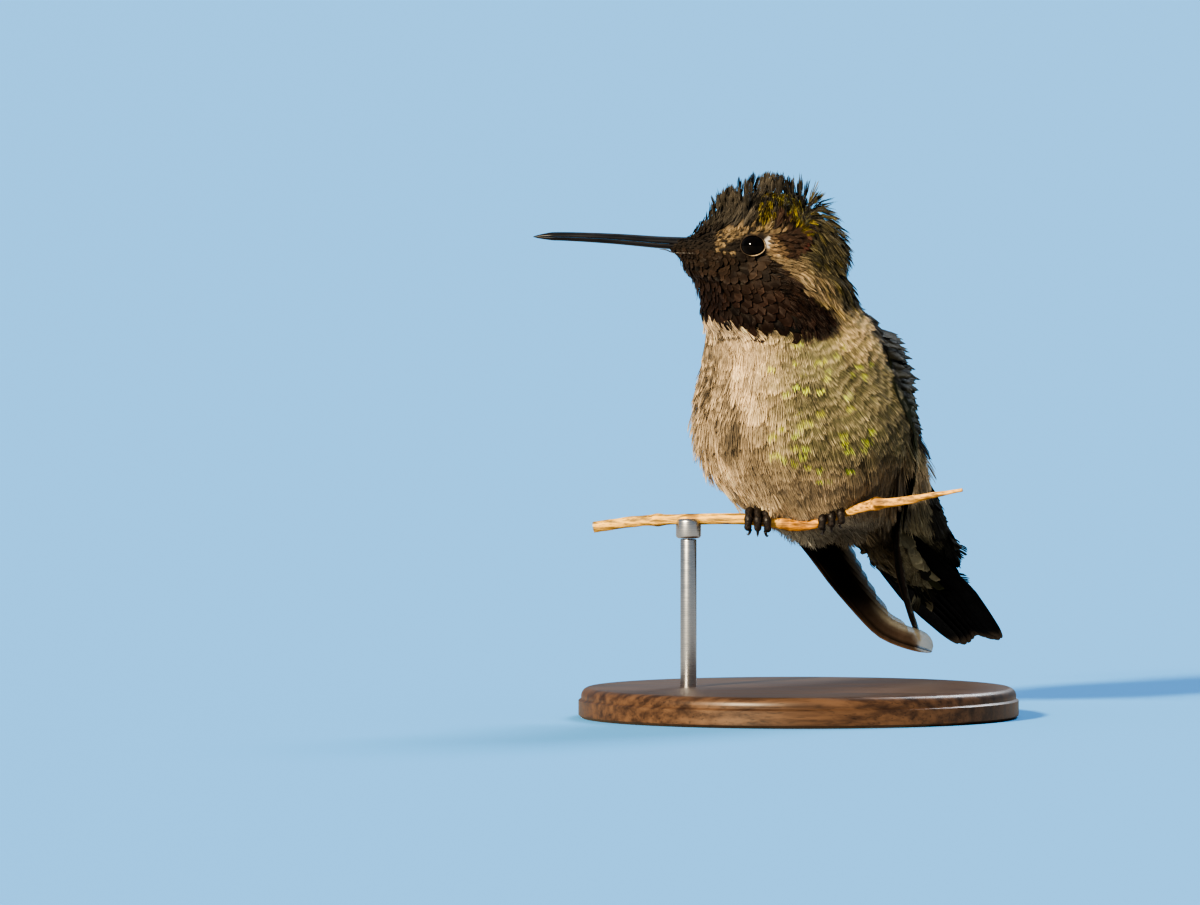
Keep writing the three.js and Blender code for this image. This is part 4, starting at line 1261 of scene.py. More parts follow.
    own_left = own_terms(spots)[1]
    for name, part, seed in (("breast_feathers", own_left < -4.5, 47),
                             ("belly_feathers", np.abs(own_left) <= 4.5, 49),
                             ("flank_feathers", own_left > 4.5, 53)):
        grown(name, belly & part, by_height([0.85, 1.0, 1.0, 0.85]), by_height([4.2, 4.8, 4.4, 3.5]),
              by_height([1.0, 1.25, 1.2, 1.0]), seed, style, contrast=0.20, loose=0.022,
              barb_width=0.042, turn=0.05, lift=body_lift)
    wing_line = np.interp(spots[:, 2], [22, 28, 34, 40, 46], [17, 13, 9.4, 5.6, 2.6])
    beside = belly & (own_left > 4) & (wing_line - own_back < 4.0)
    beside = beside & (spots[:, 2] > 26) & (spots[:, 2] < 38.5)
    grown("flank_edge_feathers", beside, 0.65, 7.2, 1.1, 71, style, contrast=0.3, loose=0.08,
          barb_width=0.045, turn=0.10, lift=lambda r: np.full(len(r), 0.24))
    low = belly & (spots[:, 2] < 27.5) & (own_back < 12.5)
    wisp = fan_pattern(9, 2, 3, 8)
    vent_dress = dress(fringe=1.1, spread=0.15, down=0.2)
    grown("vent_fluff", low, 0.75, 3.2, 0.9, 67,
          (wisp, vent_dress, BREAST_FEATHER, "breast_plumage"),
          barb_width=0.04, loose=0.28, contrast=0.4, turn=0.3,
          lift=lambda r: 0.25 + 0.45 * ramp(r[:, 2], 26, 24.5))
    off_foot = np.minimum(np.abs(spots[:, 0] - FOOT_LEFT_X), np.abs(spots[:, 0] - FOOT_RIGHT_X))
    fringe = belly & (off_foot < 2.2) & (spots[:, 0] < FOOT_X) & (normals[:, 1] < -0.35)
    fringe = fringe & (spots[:, 2] > 27.0) & (spots[:, 2] < 29.0)
    strand = fan_pattern(3, 2, 4, 12, roundness=0.3)
    fringe_dress = dress(fringe=1.1, spread=0.2, down=0.0, hanging=True)
    grown("belly_fringe", fringe, 0.45, 3.3, 0.28, 69,
          (strand, fringe_dress, BREAST_FEATHER, "breast_plumage"),
          barb_width=0.036, loose=0.25, contrast=0.4, turn=0.2,
          lift=lambda r: np.full(len(r), 0.80))

    def back_lift(points):
        x, y, height = points.T
        middle = 0.10 * ramp(height, 54, 40) * ramp(height, 24, 30)
        edge = 0.55 * ramp(x, 9.0, 10.5) * ramp(height, 34, 37) * ramp(height, 53, 51)
        return middle + edge * ramp(y, 3, -1)

    back_dress = dress(fringe=1.7, fringe_from=0.88, centre=0.8, spread=0.2, down=0.4)
    grown("back_feathers", dorsal & (own_back < 16), 0.85, 3.7, 0.75, 59,
          (blade, back_dress, BACK_FEATHER, "back_plumage"),
          bluntness=1.6, ragged=0.16, camber=0.2, turn=0.12, lift=back_lift)
    rump = dorsal & (own_back >= 16) & (normals[:, 2] > -0.15)
    rump = rump & (normals @ unit(BACK - 1.08 * UP) < 0.45)
    rump_dress = dress(fringe=1.5, fringe_from=0.90, centre=0.8, spread=0.15, down=0.4)
    grown("rump_feathers", rump, 0.9, 5.0, 0.95, 63,
          (blade, rump_dress, BACK_FEATHER, "back_plumage"),
          bluntness=2.6, ragged=0.06, camber=0.2, turn=0.05,
          lift=lambda r: 0.17 * ramp(own_terms(r)[0], 15.5, 18.5))
    covert_dress = dress(fringe=1.6, fringe_from=0.93, centre=0.8, spread=0.16, down=0.3)
    grown("undertail_covert_feathers", under & ~tail_end, 1.0, 4.2, 1.25, 61,
          (comb, covert_dress, COVERT_FEATHER, "tail_coverts"),
          barb_width=0.075, camber=0.15, loose=0.03, contrast=0.16,
          depth=lambda r: np.full(len(r), 0.45))


# ---------------------------------------------------------------- drawn-out forms: bill, quills, rods

def smooth_path(stops, count):
    """Evenly numbered points of a smooth curve through the stops (Catmull-Rom)."""
    stops = np.asarray(stops, float)
    padded = np.vstack([2 * stops[0] - stops[1], stops, 2 * stops[-1] - stops[-2]])
    at = np.linspace(0, len(stops) - 1 - 1e-9, count)
    low = at.astype(int)
    t = (at - low)[:, None]
    a, b, c, d = padded[low], padded[low + 1], padded[low + 2], padded[low + 3]
    square = (2 * a - 5 * b + 4 * c - d) * t ** 2
    points = 0.5 * (2 * b + (c - a) * t + square + (3 * b - a - 3 * c + d) * t ** 3)
    gone = np.concatenate([[0], np.cumsum(np.linalg.norm(np.diff(points, axis=0), axis=1))])
    even = np.linspace(0, gone[-1], count)
    return np.stack([np.interp(even, gone, points[:, axis]) for axis in range(3)], axis=1)


def tangents_of(path):
    return unit(np.gradient(path, axis=0))


def loft(path, side, up, section, turns=20):
    """Closed form along a path. section(share, angle) gives the reach along side and up (mm)."""
    angle = round_angles(turns)
    points = []
    for index, middle in enumerate(path):
        reach_side, reach_up = section(index / (len(path) - 1), angle)
        points.append(middle + reach_side[:, None] * side[index] + reach_up[:, None] * up[index])
    points = np.concatenate(points + [path[:1], path[-1:]])
    return points, *tube_faces(len(path), turns)


def level_frame(path):
    """Directions along Y and up from a path that runs in the XZ plane."""
    side = np.tile(np.array([0, 1.0, 0]), (len(path), 1))
    return side, unit(np.cross(side, tangents_of(path)))


def make_bill():
    tip = corner_mm("bill_upper", 0)[0]
    path = smooth_path([(-12.7, HEAD_Y, 62.35), (-18, HEAD_Y, 62.6), (-24.5, HEAD_Y, 63.1),
                        (-31, HEAD_Y, 63.4), (tip, HEAD_Y, 63.35)], 70)
    side, up = level_frame(path)
    up = up * np.sign(up[:, 2:3])

    def half_height(share):
        return (0.92 - 0.40 * share) * min(1, (1 - share) * 9) ** 0.6

    def upper(share, angle):
        thick = half_height(share)
        rise = np.sin(angle)
        top = np.where(rise > 0, thick * np.abs(rise) ** 0.85, -0.10 * thick * np.abs(rise))
        wide = thick * (1.12 + 0.25 * (1 - share))
        return wide * np.cos(angle), top

    def lower(share, angle):
        thick = half_height(min(1, share * 1.01))
        rise = np.sin(angle)
        belly = -0.14 * thick - 0.80 * thick * np.abs(rise) ** 0.9
        top = np.where(rise > 0, -0.14 * thick, belly)
        wide = thick * (0.98 + 0.22 * (1 - share))
        return wide * np.cos(angle), top

    horn = Finish("bill_horn", Specular_IOR_Level=0.4)
    streak = horn.streaks((180, 1500, 1500), 4.0)
    horn.colour(horn.two_tone(streak, (0.006, 0.006, 0.008), (0.018, 0.018, 0.022)))
    horn.rough(streak, 0.30, 0.48)
    horn.bump(streak, 0.35, 0.03)
    for half, section in (("upper", upper), ("lower", lower)):
        piece = new_object("bill_%s_horn" % half, *loft(path, side, up, section))
        finish_piece(piece, horn.material, "bill_horn", "bill_" + half)


GAPE_LINE = [(-18.4, 61.75), (-17.0, 61.6), (-15.5, 61.4), (-13.8, 61.35), (-12.5, 61.85)]
GAPE_STAND_OFF = 0.24               # above the skin, just over the face feathers


def make_gape(skin):
    """The edge of the mouth, drawn back along each cheek from the bill, in a pale grey that is a
    painted highlight along the gape.
    """
    # pale grey colour: a painted highlight along the gape
    material = mottled_material("gape_highlight", (0.15, 0.14, 0.13), (2600.0, 0.75, 1.2), (0.4, 0.6),
                                Specular_IOR_Level=0.4)
    stops = smooth_path([(x, 0.0, z) for x, z in GAPE_LINE], 40)
    for side_name, sign in (("left", -1), ("right", 1)):
        spots = []
        for x, _, z in stops:
            hit = skin.tree.ray_cast(Vector((x, HEAD_Y + 12 * sign, z)), Vector((0, -sign, 0)))
            missed = Vector((x, HEAD_Y + 0.85 * sign, z))
            spots.append(hit[0] + hit[1] * GAPE_STAND_OFF if hit[0] else missed)
        path = smooth_path(np.array(spots)[::6], 48)
        piece = new_object("gape_edge_" + side_name,
                           *loft(path, *level_frame(path), gape_section, turns=8))
        finish_piece(piece, material, "bill_horn")


def gape_section(share, angle):
    thick = 0.070 * min(1.0, share * 8, (1 - share) * 2) ** 0.7 + 0.003
    return thick * np.cos(angle), thick * np.sin(angle)


# ---------------------------------------------------------------- eyes

EYEBALL = 1.05                      # size of the ball behind the lids against its solid
LID_STEPS = 72
LID_TURNS = 10
LID_DARK = (0.045, 0.030, 0.020)
LID_PALE = (0.42, 0.32, 0.21)


def eye_material():
    finish = Finish("eye_dark", Specular_IOR_Level=0.1, Coat_Weight=0.3, Coat_Roughness=0.12)
    fleck = finish.noise(finish.spot(), 1500.0, 3.0)
    dark, light = (0.0015, 0.0012, 0.0012), (0.005, 0.003, 0.002)
    finish.colour(finish.two_tone(fleck, dark, light, 0.35, 0.65))
    finish.rough(fleck, 0.05, 0.10)
    return finish.material


def eyelid_material():
    finish = Finish("eyelid_skin", Specular_IOR_Level=0.3)
    wrinkle = finish.noise(finish.spot(), 5200.0, 2.0)
    finish.colour(finish.tint()[0], finish.spread(wrinkle, 0.35, 0.65, 0.7, 1.2))
    finish.rough(wrinkle, 0.5, 0.75)
    finish.bump(wrinkle, 0.8, 0.08)
    return finish.material


def make_eyes():
    ball_material = eye_material()
    lid_material = eyelid_material()
    for side_name, sign in (("left", -1), ("right", 1)):
        node = "eye_" + side_name
        centre = middle_mm(node)
        radius = EYEBALL * (corner_mm(node, 1) - corner_mm(node, 0))[0] / 2
        out = unit(np.array([-0.10, sign, 0.05]))
        fore = unit(np.cross(out, UP)) * sign
        top = unit(np.cross(fore, out)) * sign
        top = top * np.sign(top[2])
        across, down, quads = vane_pattern(40, 24)
        theta = down * math.pi
        phi = across * math.pi
        flat = np.sin(theta)[:, None]
        bulge = flat * np.cos(phi)[:, None] * fore + flat * np.sin(phi)[:, None] * top * 0.94
        points = centre + radius * (bulge + np.cos(theta)[:, None] * out)
        piece = new_object("eyeball_" + side_name, points, quads)
        mend(piece, merge_mm=0.01)
        finish_piece(piece, ball_material, "eye_gloss", node)
        make_eyelids(side_name, centre, radius, (fore, top, out), lid_material)


def make_eyelids(side_name, centre, radius, directions, material):
    """A thin uneven ring of skin round the eyeball, paler behind; the dark top is partly painted shade
    under the brow.
    """
    fore, top, out = directions
    angle = round_angles(LID_STEPS)
    along = 1.60 * np.cos(angle)
    rise = (1.36 + 0.06 * np.sin(angle)) * np.sin(angle)
    depth = np.sqrt(np.maximum(radius ** 2 - along ** 2 - rise ** 2, 0.03))
    outward = along[:, None] * fore + rise[:, None] * top
    ring = centre + outward + depth[:, None] * out
    outward = unit(outward)
    rear = ramp(np.cos(angle - math.radians(-35)), 0.2, 0.8)
    thick = 0.075 + 0.02 * rear + 0.012 * np.random.default_rng(71).normal(size=LID_STEPS)
    turn = round_angles(LID_TURNS)[None, :, None]
    round_it = np.cos(turn) * outward[:, None] + np.sin(turn) * out * 1.1
    points = ring[:, None] + thick[:, None, None] * round_it
    index = np.arange(LID_STEPS * LID_TURNS).reshape(LID_STEPS, LID_TURNS)
    quads = band_quads(np.concatenate([index, index[:1]]))
    piece = new_object("eyelids_" + side_name, points.reshape(-1, 3), quads)
    # dark lid skin with a pale rear; along the top the dark is also painted shade under the brow
    tints = mix(even_colour(LID_DARK, LID_STEPS), LID_PALE, rear)
    add_tint(piece, np.repeat(tints, LID_TURNS, axis=0))
    finish_piece(piece, material, "crown_plumage")


# ---------------------------------------------------------------- flight feathers

WING_PATH = {
    "left": [(0.5, 13.9, 46.2), (5.5, 14, 40), (10, 12.2, 33.8), (14, 8.5, 28.2), (18.2, 5.3, 22.7),
             (26.8, 2.0, 16.5), (38.6, -1.9, 8.4)],
    "right": [(0.5, -13.9, 46.2), (5.5, -14, 40), (10, -12.2, 33.8), (14, -9.4, 28.2),
              (17.6, -6.2, 22.7), (20.7, -2.7, 16.5), (25.7, -0.1, 10.9), (30.9, 3.4, 7.3)],
}
PRIMARY_REACH = (1.0, 0.925, 0.855, 0.795, 0.75, 0.715, 0.68, 0.64, 0.60, 0.56)
SECONDARY_REACH = (0.56, 0.53, 0.50, 0.47, 0.44, 0.41)
QUILL_STEPS = 26
COVERT_STEPS = 10
SHAFT_SIDES = 6


def along_quill(rows):
    """Shares of a feather's length, closer together towards the tip."""
    return 1 - (1 - np.linspace(0, 1, rows)) ** 1.7


def repeated(values, rows, columns):
    """One flat list of a value for each point of a grid."""
    return np.broadcast_to(values, (rows, columns)).ravel()


def quill_vane(path, trail, out, leading, trailing, thickness, rachis, tip_round=0.12):
    """One flight feather: a thin closed vane either side of a tapering shaft.

    trail and out are the directions across the vane and out of it at each point of the path.
    """
    rows = len(path)
    columns = 11
    share = along_quill(rows)
    close = np.sqrt(np.clip(1 - np.clip((share - (1 - tip_round)) / tip_round, 0, 1) ** 2, 0, 1))
    start = 0.25 + 0.75 * np.clip(share / 0.15, 0, 1)
    across = np.linspace(-1, 1, columns)[None]
    reach = np.where(across < 0, across * leading[:, None], across * trailing[:, None])
    reach = reach * (close * start)[:, None]
    cup = -0.10 * (reach ** 2) / np.maximum(trailing.max(), 1)
    body = thickness * (1 - 0.75 * np.abs(across))
    middle = path[:, None] + trail[:, None] * reach[..., None] + out[:, None] * cup[..., None]
    top = middle + out[:, None] * (body / 2)[..., None]
    bottom = middle - out[:, None] * (body / 2)[..., None]
    size = rows * columns
    index = np.arange(size).reshape(rows, columns)
    upper = grid_quads(index)
    rim = np.concatenate([index[:, 0], index[-1, 1:], index[::-1, -1][1:], index[0, ::-1][1:-1]])
    ahead = np.roll(rim, -1)
    edge = np.stack([rim, rim + size, ahead + size, ahead], axis=1)
    angle = round_angles(SHAFT_SIDES)[None, :, None]
    girth = (rachis * (1 - 0.8 * share))[:, None, None]
    round_it = np.cos(angle) * trail[:, None] + np.sin(angle) * out[:, None] * 1.2
    shaft = path[:, None] + girth * round_it
    ring = np.arange(rows * SHAFT_SIDES).reshape(rows, SHAFT_SIDES) + 2 * size
    points = np.concatenate([part.reshape(-1, 3) for part in (top, bottom, shaft)])
    quads = np.concatenate([upper, upper[:, ::-1] + size, edge, band_quads(ring)])
    sideways = repeated(across * 0.5 + 0.5, rows, columns)
    lengthways = repeated(share[:, None], rows, columns)
    vane = np.stack([np.concatenate([sideways, sideways, np.full(ring.size, 0.5)]),
                     np.concatenate([lengthways, lengthways, np.repeat(share, SHAFT_SIDES)])], axis=1)
    return points, quads, vane, np.repeat([0.0, 1.0], [2 * size, ring.size])


def quill_group(name, feathers, paint, material, slot, nodes, strip):
    """Joins flight feathers into one piece, each with its own strip of the OFBake map."""
    points, quads, vane_map, bake, tints, alphas = [], [], [], [], [], []
    count = 0
    for number, (part_points, part_quads, vane, on_shaft) in enumerate(feathers):
        points.append(part_points)
        quads.append(part_quads + count)
        vane_map.append(vane)
        bake.append(np.stack([strip[0] + (number + 0.1 + 0.8 * vane[:, 0]) * strip[2],
                              strip[1] + 0.10 * vane[:, 1]], axis=1))
        tint, alpha = paint(number, vane, on_shaft)
        tints.append(tint)
        alphas.append(alpha)
        count += len(part_points)
    piece = new_object(name, np.concatenate(points), np.concatenate(quads))
    add_tint(piece, np.concatenate(tints), np.concatenate(alphas))
    add_uv(piece, "OFBake", np.concatenate(bake))
    add_uv(piece, "Vane", np.concatenate(vane_map))
    return finish_piece(piece, material, slot, *nodes)


def wing_frame(side_name, count=240):
    sign = 1 if side_name == "left" else -1
    path = smooth_path([place(*stop) for stop in WING_PATH[side_name]], count)
    out = 0.5 * BACK + sign * 0.866 * LEFT
    trail = unit(np.cross(tangents_of(path), out))
    trail = trail * np.where(trail[:, 1:2] * 1.0 + trail[:, 2:3] * 0.6 > 0, 1, -1)
    return path, trail, np.tile(out, (count, 1))


def part_way(frame_parts, low, high, count):
    """The stretch of a wing's frame between two shares of its length."""
    at = (low + (high - low) * along_quill(count)) * (len(frame_parts[0]) - 1)
    index = np.arange(len(frame_parts[0]))
    return [np.stack([np.interp(at, index, values[:, axis]) for axis in range(3)], axis=1)
            for values in frame_parts]


def paint_primary(number, vane, on_shaft):
    """Nearly black at the root and browner outwards; thin margins let light through, and their pale
    colour is painted light shining through the vane.
    """
    across, along = vane.T
    # pale margins and tips: painted light shining through the thin vane, on top of the see-through
    # alpha
    margin = ramp(across, 0.78, 0.86) * ramp(along, 0.70, 0.84)
    margin = np.maximum(margin, ramp(along + 0.04 * across, 0.955, 0.975))
    tint = even_colour([0.014, 0.012, 0.010], len(vane))
    tint = mix(tint, (0.085, 0.058, 0.043), ramp(along, 0.62, 0.88))
    tint = mix(tint, (0.330, 0.310, 0.250), margin)
    leading = 0.8 * ramp(across, 0.24, 0.04) * ramp(along, 0.3, 0.6) * (number == 0)
    tint = mix(tint, (0.220, 0.120, 0.060), leading)
    tint = mix(tint, (0.020, 0.014, 0.010), ramp(np.abs(across - 0.5), 0.05, 0.02))
    tint = mix(tint, (0.05, 0.035, 0.025), on_shaft)
    return tint, np.where(on_shaft > 0, 1.0, 1 - 0.38 * margin)


def paint_secondary(number, vane, on_shaft):
    tint = even_colour([0.030, 0.027, 0.022], len(vane))
    tint = mix(tint, (0.10, 0.085, 0.07), ramp(vane[:, 1], 0.9, 1.0))
    return tint, np.ones(len(vane))


def paint_covert(number, vane, on_shaft):
    """Bronze green like the back, with a paler rim."""
    tint = even_colour([0.046, 0.050, 0.020], len(vane))
    tint = mix(tint, (0.11, 0.095, 0.05), ramp(vane[:, 1], 0.86, 1.0))
    tint = tint * (0.8 + 0.4 * ((number * 37) % 11) / 10)
    return tint, np.ones(len(vane))


def paint_tail(number, vane, on_shaft):
    across, along = vane.T
    tint = even_colour([0.013, 0.012, 0.013], len(vane))
    tint = mix(tint, (0.16, 0.120, 0.085), ramp(along + 0.04 * np.abs(across - 0.5), 0.945, 0.99))
    return tint, np.ones(len(vane))


def make_wings():
    vane_material = plumage_material("flight_vane", 70.0, 0.9, 0.18, 0.02, 0.6, sheen=0.0,
                                     see_through=True, specular=0.05)
    steps = along_quill(QUILL_STEPS)
    for index, side_name in enumerate(("left", "right")):
        parts = wing_frame(side_name)
        primaries = []
        for number, reach in enumerate(PRIMARY_REACH):
            low = 0.20 + 0.012 * number
            path, trail, out = part_way(parts, low, reach, QUILL_STEPS)
            share = low + (reach - low) * steps
            lead_edge = np.interp(share, [0, 0.2, 0.45, 0.65, 0.85, 1],
                                  [1.7, 3.0, 2.9, 2.9, 2.3, 0.6])
            fan = number * np.interp(share, [0.2, 0.6, 1], [0.20, 0.46, 0.56])
            shifted = path + trail * (-lead_edge + 0.75 + fan)[:, None]
            shifted = shifted - out * (0.075 * (4.5 - number))
            wide = np.interp(steps, [0, 0.5, 0.85, 1], [1.6, 2.3, 2.5, 2.4])
            narrow = np.interp(steps, [0, 0.5, 1], [0.5, 0.62, 0.60])
            primaries.append(quill_vane(shifted, trail, out, narrow, wide, 0.10, 0.15,
                                        tip_round=0.075))
        quill_group("wing_primaries_" + side_name, primaries, paint_primary, vane_material,
                    "flight_feathers", ["wing_%s_primaries" % side_name],
                    (0.02 + 0.5 * index, 0.88, 0.03))
        secondaries = []
        for number, reach in enumerate(SECONDARY_REACH):
            path, trail, out = part_way(parts, 0.20, reach, QUILL_STEPS)
            shifted = path + trail * (1.2 + 0.5 * number) + out * (0.05 + 0.05 * number)
            wide = np.full(QUILL_STEPS, 2.0)
            secondaries.append(quill_vane(shifted, trail, out, wide * 0.6, wide, 0.10, 0.12,
                                          tip_round=0.16))
        quill_group("wing_secondaries_" + side_name, secondaries, paint_secondary, vane_material,
                    "flight_feathers", ["wing_%s_secondaries" % side_name],
                    (0.02 + 0.5 * index, 0.76, 0.03))
        coverts = []
        for row in range(7):
            for number in range(8):
                low = 0.03 + 0.045 * row - 0.006 * number
                path, trail, out = part_way(parts, max(low, 0.0), low + 0.15 + 0.006 * row,
                                            COVERT_STEPS)
                aside = -2.1 + 0.85 * number + 0.42 * (row % 2)
                rise = 0.05 + 0.57 * along_quill(COVERT_STEPS)
                shifted = path + trail * aside + out * rise[:, None]
                wide = np.full(COVERT_STEPS, 0.78)
                coverts.append(quill_vane(shifted, trail, out, wide, wide, 0.10, 0.08,
                                          tip_round=0.35))
        quill_group("wing_coverts_" + side_name, coverts, paint_covert, vane_material,
                    "back_plumage", ["wing_%s_coverts" % side_name],
                    (0.02 + 0.5 * index, 0.64, 0.02))


TAIL_PATH = [(16, 0.8, 27.6), (24, 1.1, 22.7), (34, 1.4, 16.5), (47.2, 1.9, 8.2)]
TAIL_TILT = 0.14


def make_tail():
    material = plumage_material("tail_vane", 60.0, 0.9, 0.22, 0.02, 0.65,
                                sheen=0.0, specular=0.03)
    path = smooth_path([place(*stop) for stop in TAIL_PATH], 200)
    wide_way = unit(LEFT * math.cos(TAIL_TILT) + UP * math.sin(TAIL_TILT))
    steps = along_quill(QUILL_STEPS)
    for index, (side_name, sign) in enumerate((("left", 1), ("right", -1))):
        feathers = []
        for number, reach in enumerate((0.965, 0.98, 0.995, 1.0, 0.985)):
            middle, = part_way([path], 0.0, reach, QUILL_STEPS)
            share = reach * steps
            gap = np.interp(share, [0, 0.35, 0.65, 1], [0.42, 0.92, 1.08, 0.74])
            sideways = sign * (0.40 + number * gap)
            sideways = sideways + 0.5 * share
            out = unit(np.cross(wide_way, tangents_of(middle)))
            out = out * np.sign(out[:, 2:3])
            shifted = middle + wide_way * sideways[:, None] - out * (0.10 * number)
            wide = np.interp(steps, [0, 0.5, 0.8, 1], [1.1, 1.8, 1.8, 1.3])
            outer_vane = wide * (0.75 if number < 4 else 0.5)
            trail = np.tile(-sign * wide_way, (QUILL_STEPS, 1))
            feathers.append(quill_vane(shifted, trail, out, outer_vane, wide, 0.12, 0.16,
                                       tip_round=0.10))
        quill_group("tail_feathers_" + side_name, feathers, paint_tail, material, "tail_feathers",
                    ["tail_" + side_name], (0.02 + 0.5 * index, 0.52, 0.04))


# ---------------------------------------------------------------- feet

TOE_STEPS = 30
CLAW_STEPS = 16
TOE_START = 112                     # degrees round the twig, told as in around_twig
FRONT_ENDS = (-48, -125)            # where a front toe ends, and its claw
HIND_ENDS = (-38, -100)


def make_feet():
    scales = Finish("foot_scales", Specular_IOR_Level=0.45)
    cells = scales.add("ShaderNodeTexVoronoi", feature="F1")
    cells.inputs["Scale"].default_value = 4200.0
    scales.join(scales.spot(), cells.inputs["Vector"])
    cell = cells.outputs["Distance"]
    shade, height = scales.group(MOTTLE, Scale=2200.0, Low=0.6, High=1.4)
    grey = scales.two_tone(cell, (0.040, 0.028, 0.022), (0.012, 0.009, 0.008), 0.1, 0.6)
    scales.colour(grey, shade)
    scales.rough(height, 0.42, 0.62)
    scales.bump(cell, 0.8, 0.05)
    claw_material = mottled_material("claw_horn", (0.012, 0.010, 0.010), (3000.0, 0.7, 1.5),
                                     (0.25, 0.4), Specular_IOR_Level=0.5, Coat_Weight=0.2)
    for side_name, foot_x in (("left", FOOT_LEFT_X), ("right", FOOT_RIGHT_X)):
        for which, step in (("inner", -1), ("middle", 0), ("outer", 1), ("hind", 0)):
            toe_end, claw_end = HIND_ENDS if which == "hind" else FRONT_ENDS
            turn_sign = 1 if which == "hind" else -1
            toe_x = foot_x + step * 0.98
            spread = step * 0.35
            angles = np.radians(np.linspace(TOE_START, toe_end, TOE_STEPS))
            stand_off = TOE_RADIUS * 0.8 + TOE_HANG * np.linspace(0, 1, TOE_STEPS) ** 2
            path = around_twig(toe_x, angles, turn_sign, stand_off, spread)
            name = "toe_%s_%s" % (side_name, which)
            piece = new_object("scaled_" + name, *loft(path, *ring_frame(path), toe_section))
            finish_piece(piece, scales.material, "foot_skin", name)
            angles = np.radians(np.linspace(toe_end, claw_end, CLAW_STEPS))
            share = np.linspace(0, 1, CLAW_STEPS)
            stand_off = TOE_RADIUS * 0.8 + TOE_HANG + 0.2 * share
            path = around_twig(toe_x, angles, turn_sign, stand_off, spread)
            path = path + np.outer(share ** 2, np.array([spread * 0.4, turn_sign * 0.15, -0.30]))
            name = "claw_%s_%s" % (side_name, which)
            piece = new_object("horn_" + name, *loft(path, *ring_frame(path), claw_section))
            finish_piece(piece, claw_material, "claw_horn", name)
        piece = new_object("scaled_leg_" + side_name,
                           *remeshed("leg_form", 0.12, 3, copies=["leg_" + side_name]))
        finish_piece(piece, scales.material, "foot_skin", "leg_" + side_name)


TOE_RADIUS = 0.54
TOE_HANG = 0.55                     # how far a toe's end stands off below the twig
TWIG_STOPS = [(-27, 2.4, 25), (-20, 1.2, 25.9), (-13, 0.4, 26.1), (-7, 0, 26.1), (-2, 0, 25.5),
              (1, -0.1, 25.3), (5.5, -1, 26.8), (9.5, -2.8, 28.1), (13.3, -4.2, 28.6),
              (17.2, -5.2, 29.4), (21.4, -6.2, 30.2)]
TWIG_SHARES = [0, 0.42, 0.55, 0.66, 0.74, 0.88, 1]
TWIG_RADII = [0.72, 0.74, 0.66, 0.48, 0.66, 0.5, 0.20]
TWIG_KNOTS = [(0.17, 0.16), (0.765, 0.27), (0.515, 0.10)]


def twig_radius(share):
    radius = np.interp(share, TWIG_SHARES, TWIG_RADII)
    for spot, swell in TWIG_KNOTS:
        radius = radius + swell * np.exp(-((share - spot) / 0.014) ** 2)
    return radius


def around_twig(x, angles, turn_sign, stand_off, spread):
    """Points round the twig: 90 degrees is on top, 0 at its front, or for a hind toe at its back."""
    path = smooth_path(TWIG_STOPS, 300)
    index = int(np.argmin(np.abs(path[:, 0] - x)))
    centre = path[index]
    radius = twig_radius(index / (len(path) - 1)) + stand_off
    share = np.linspace(0, 1, len(angles))
    forward = turn_sign * radius * np.cos(angles)
    ring = np.stack([spread * share, forward, radius * np.sin(angles)], axis=1)
    return np.array([x, centre[1], centre[2]]) + ring


def ring_frame(path):
    """Directions along X and out from the curve, for a path that bends in the YZ plane."""
    along = tangents_of(path)
    side = np.tile(np.array([1.0, 0, 0]), (len(path), 1))
    side = unit(side - along * np.sum(side * along, axis=1, keepdims=True))
    return side, unit(np.cross(along, side))


def toe_section(share, angle):
    """Round toe with swollen joints and narrow raised rings of scutes."""
    joints = 0.12 * np.cos(share * 3 * 2 * math.pi) - 0.10 * share
    scute = 0.07 * np.abs(np.sin(share * 13 * math.pi)) ** 0.6
    end = min(1.0, (share + 0.04) * 10, (1.03 - share) * 9) ** 0.5
    radius = TOE_RADIUS * (1 + joints + scute) * end
    return radius * np.cos(angle), radius * np.sin(angle)


def claw_section(share, angle):
    radius = 0.28 * (1 - share) ** 0.75 + 0.012
    return radius * 0.75 * np.cos(angle), radius * np.sin(angle)


# ---------------------------------------------------------------- twig and stand

TWIG_RINGS = 520
TWIG_TURNS = 44


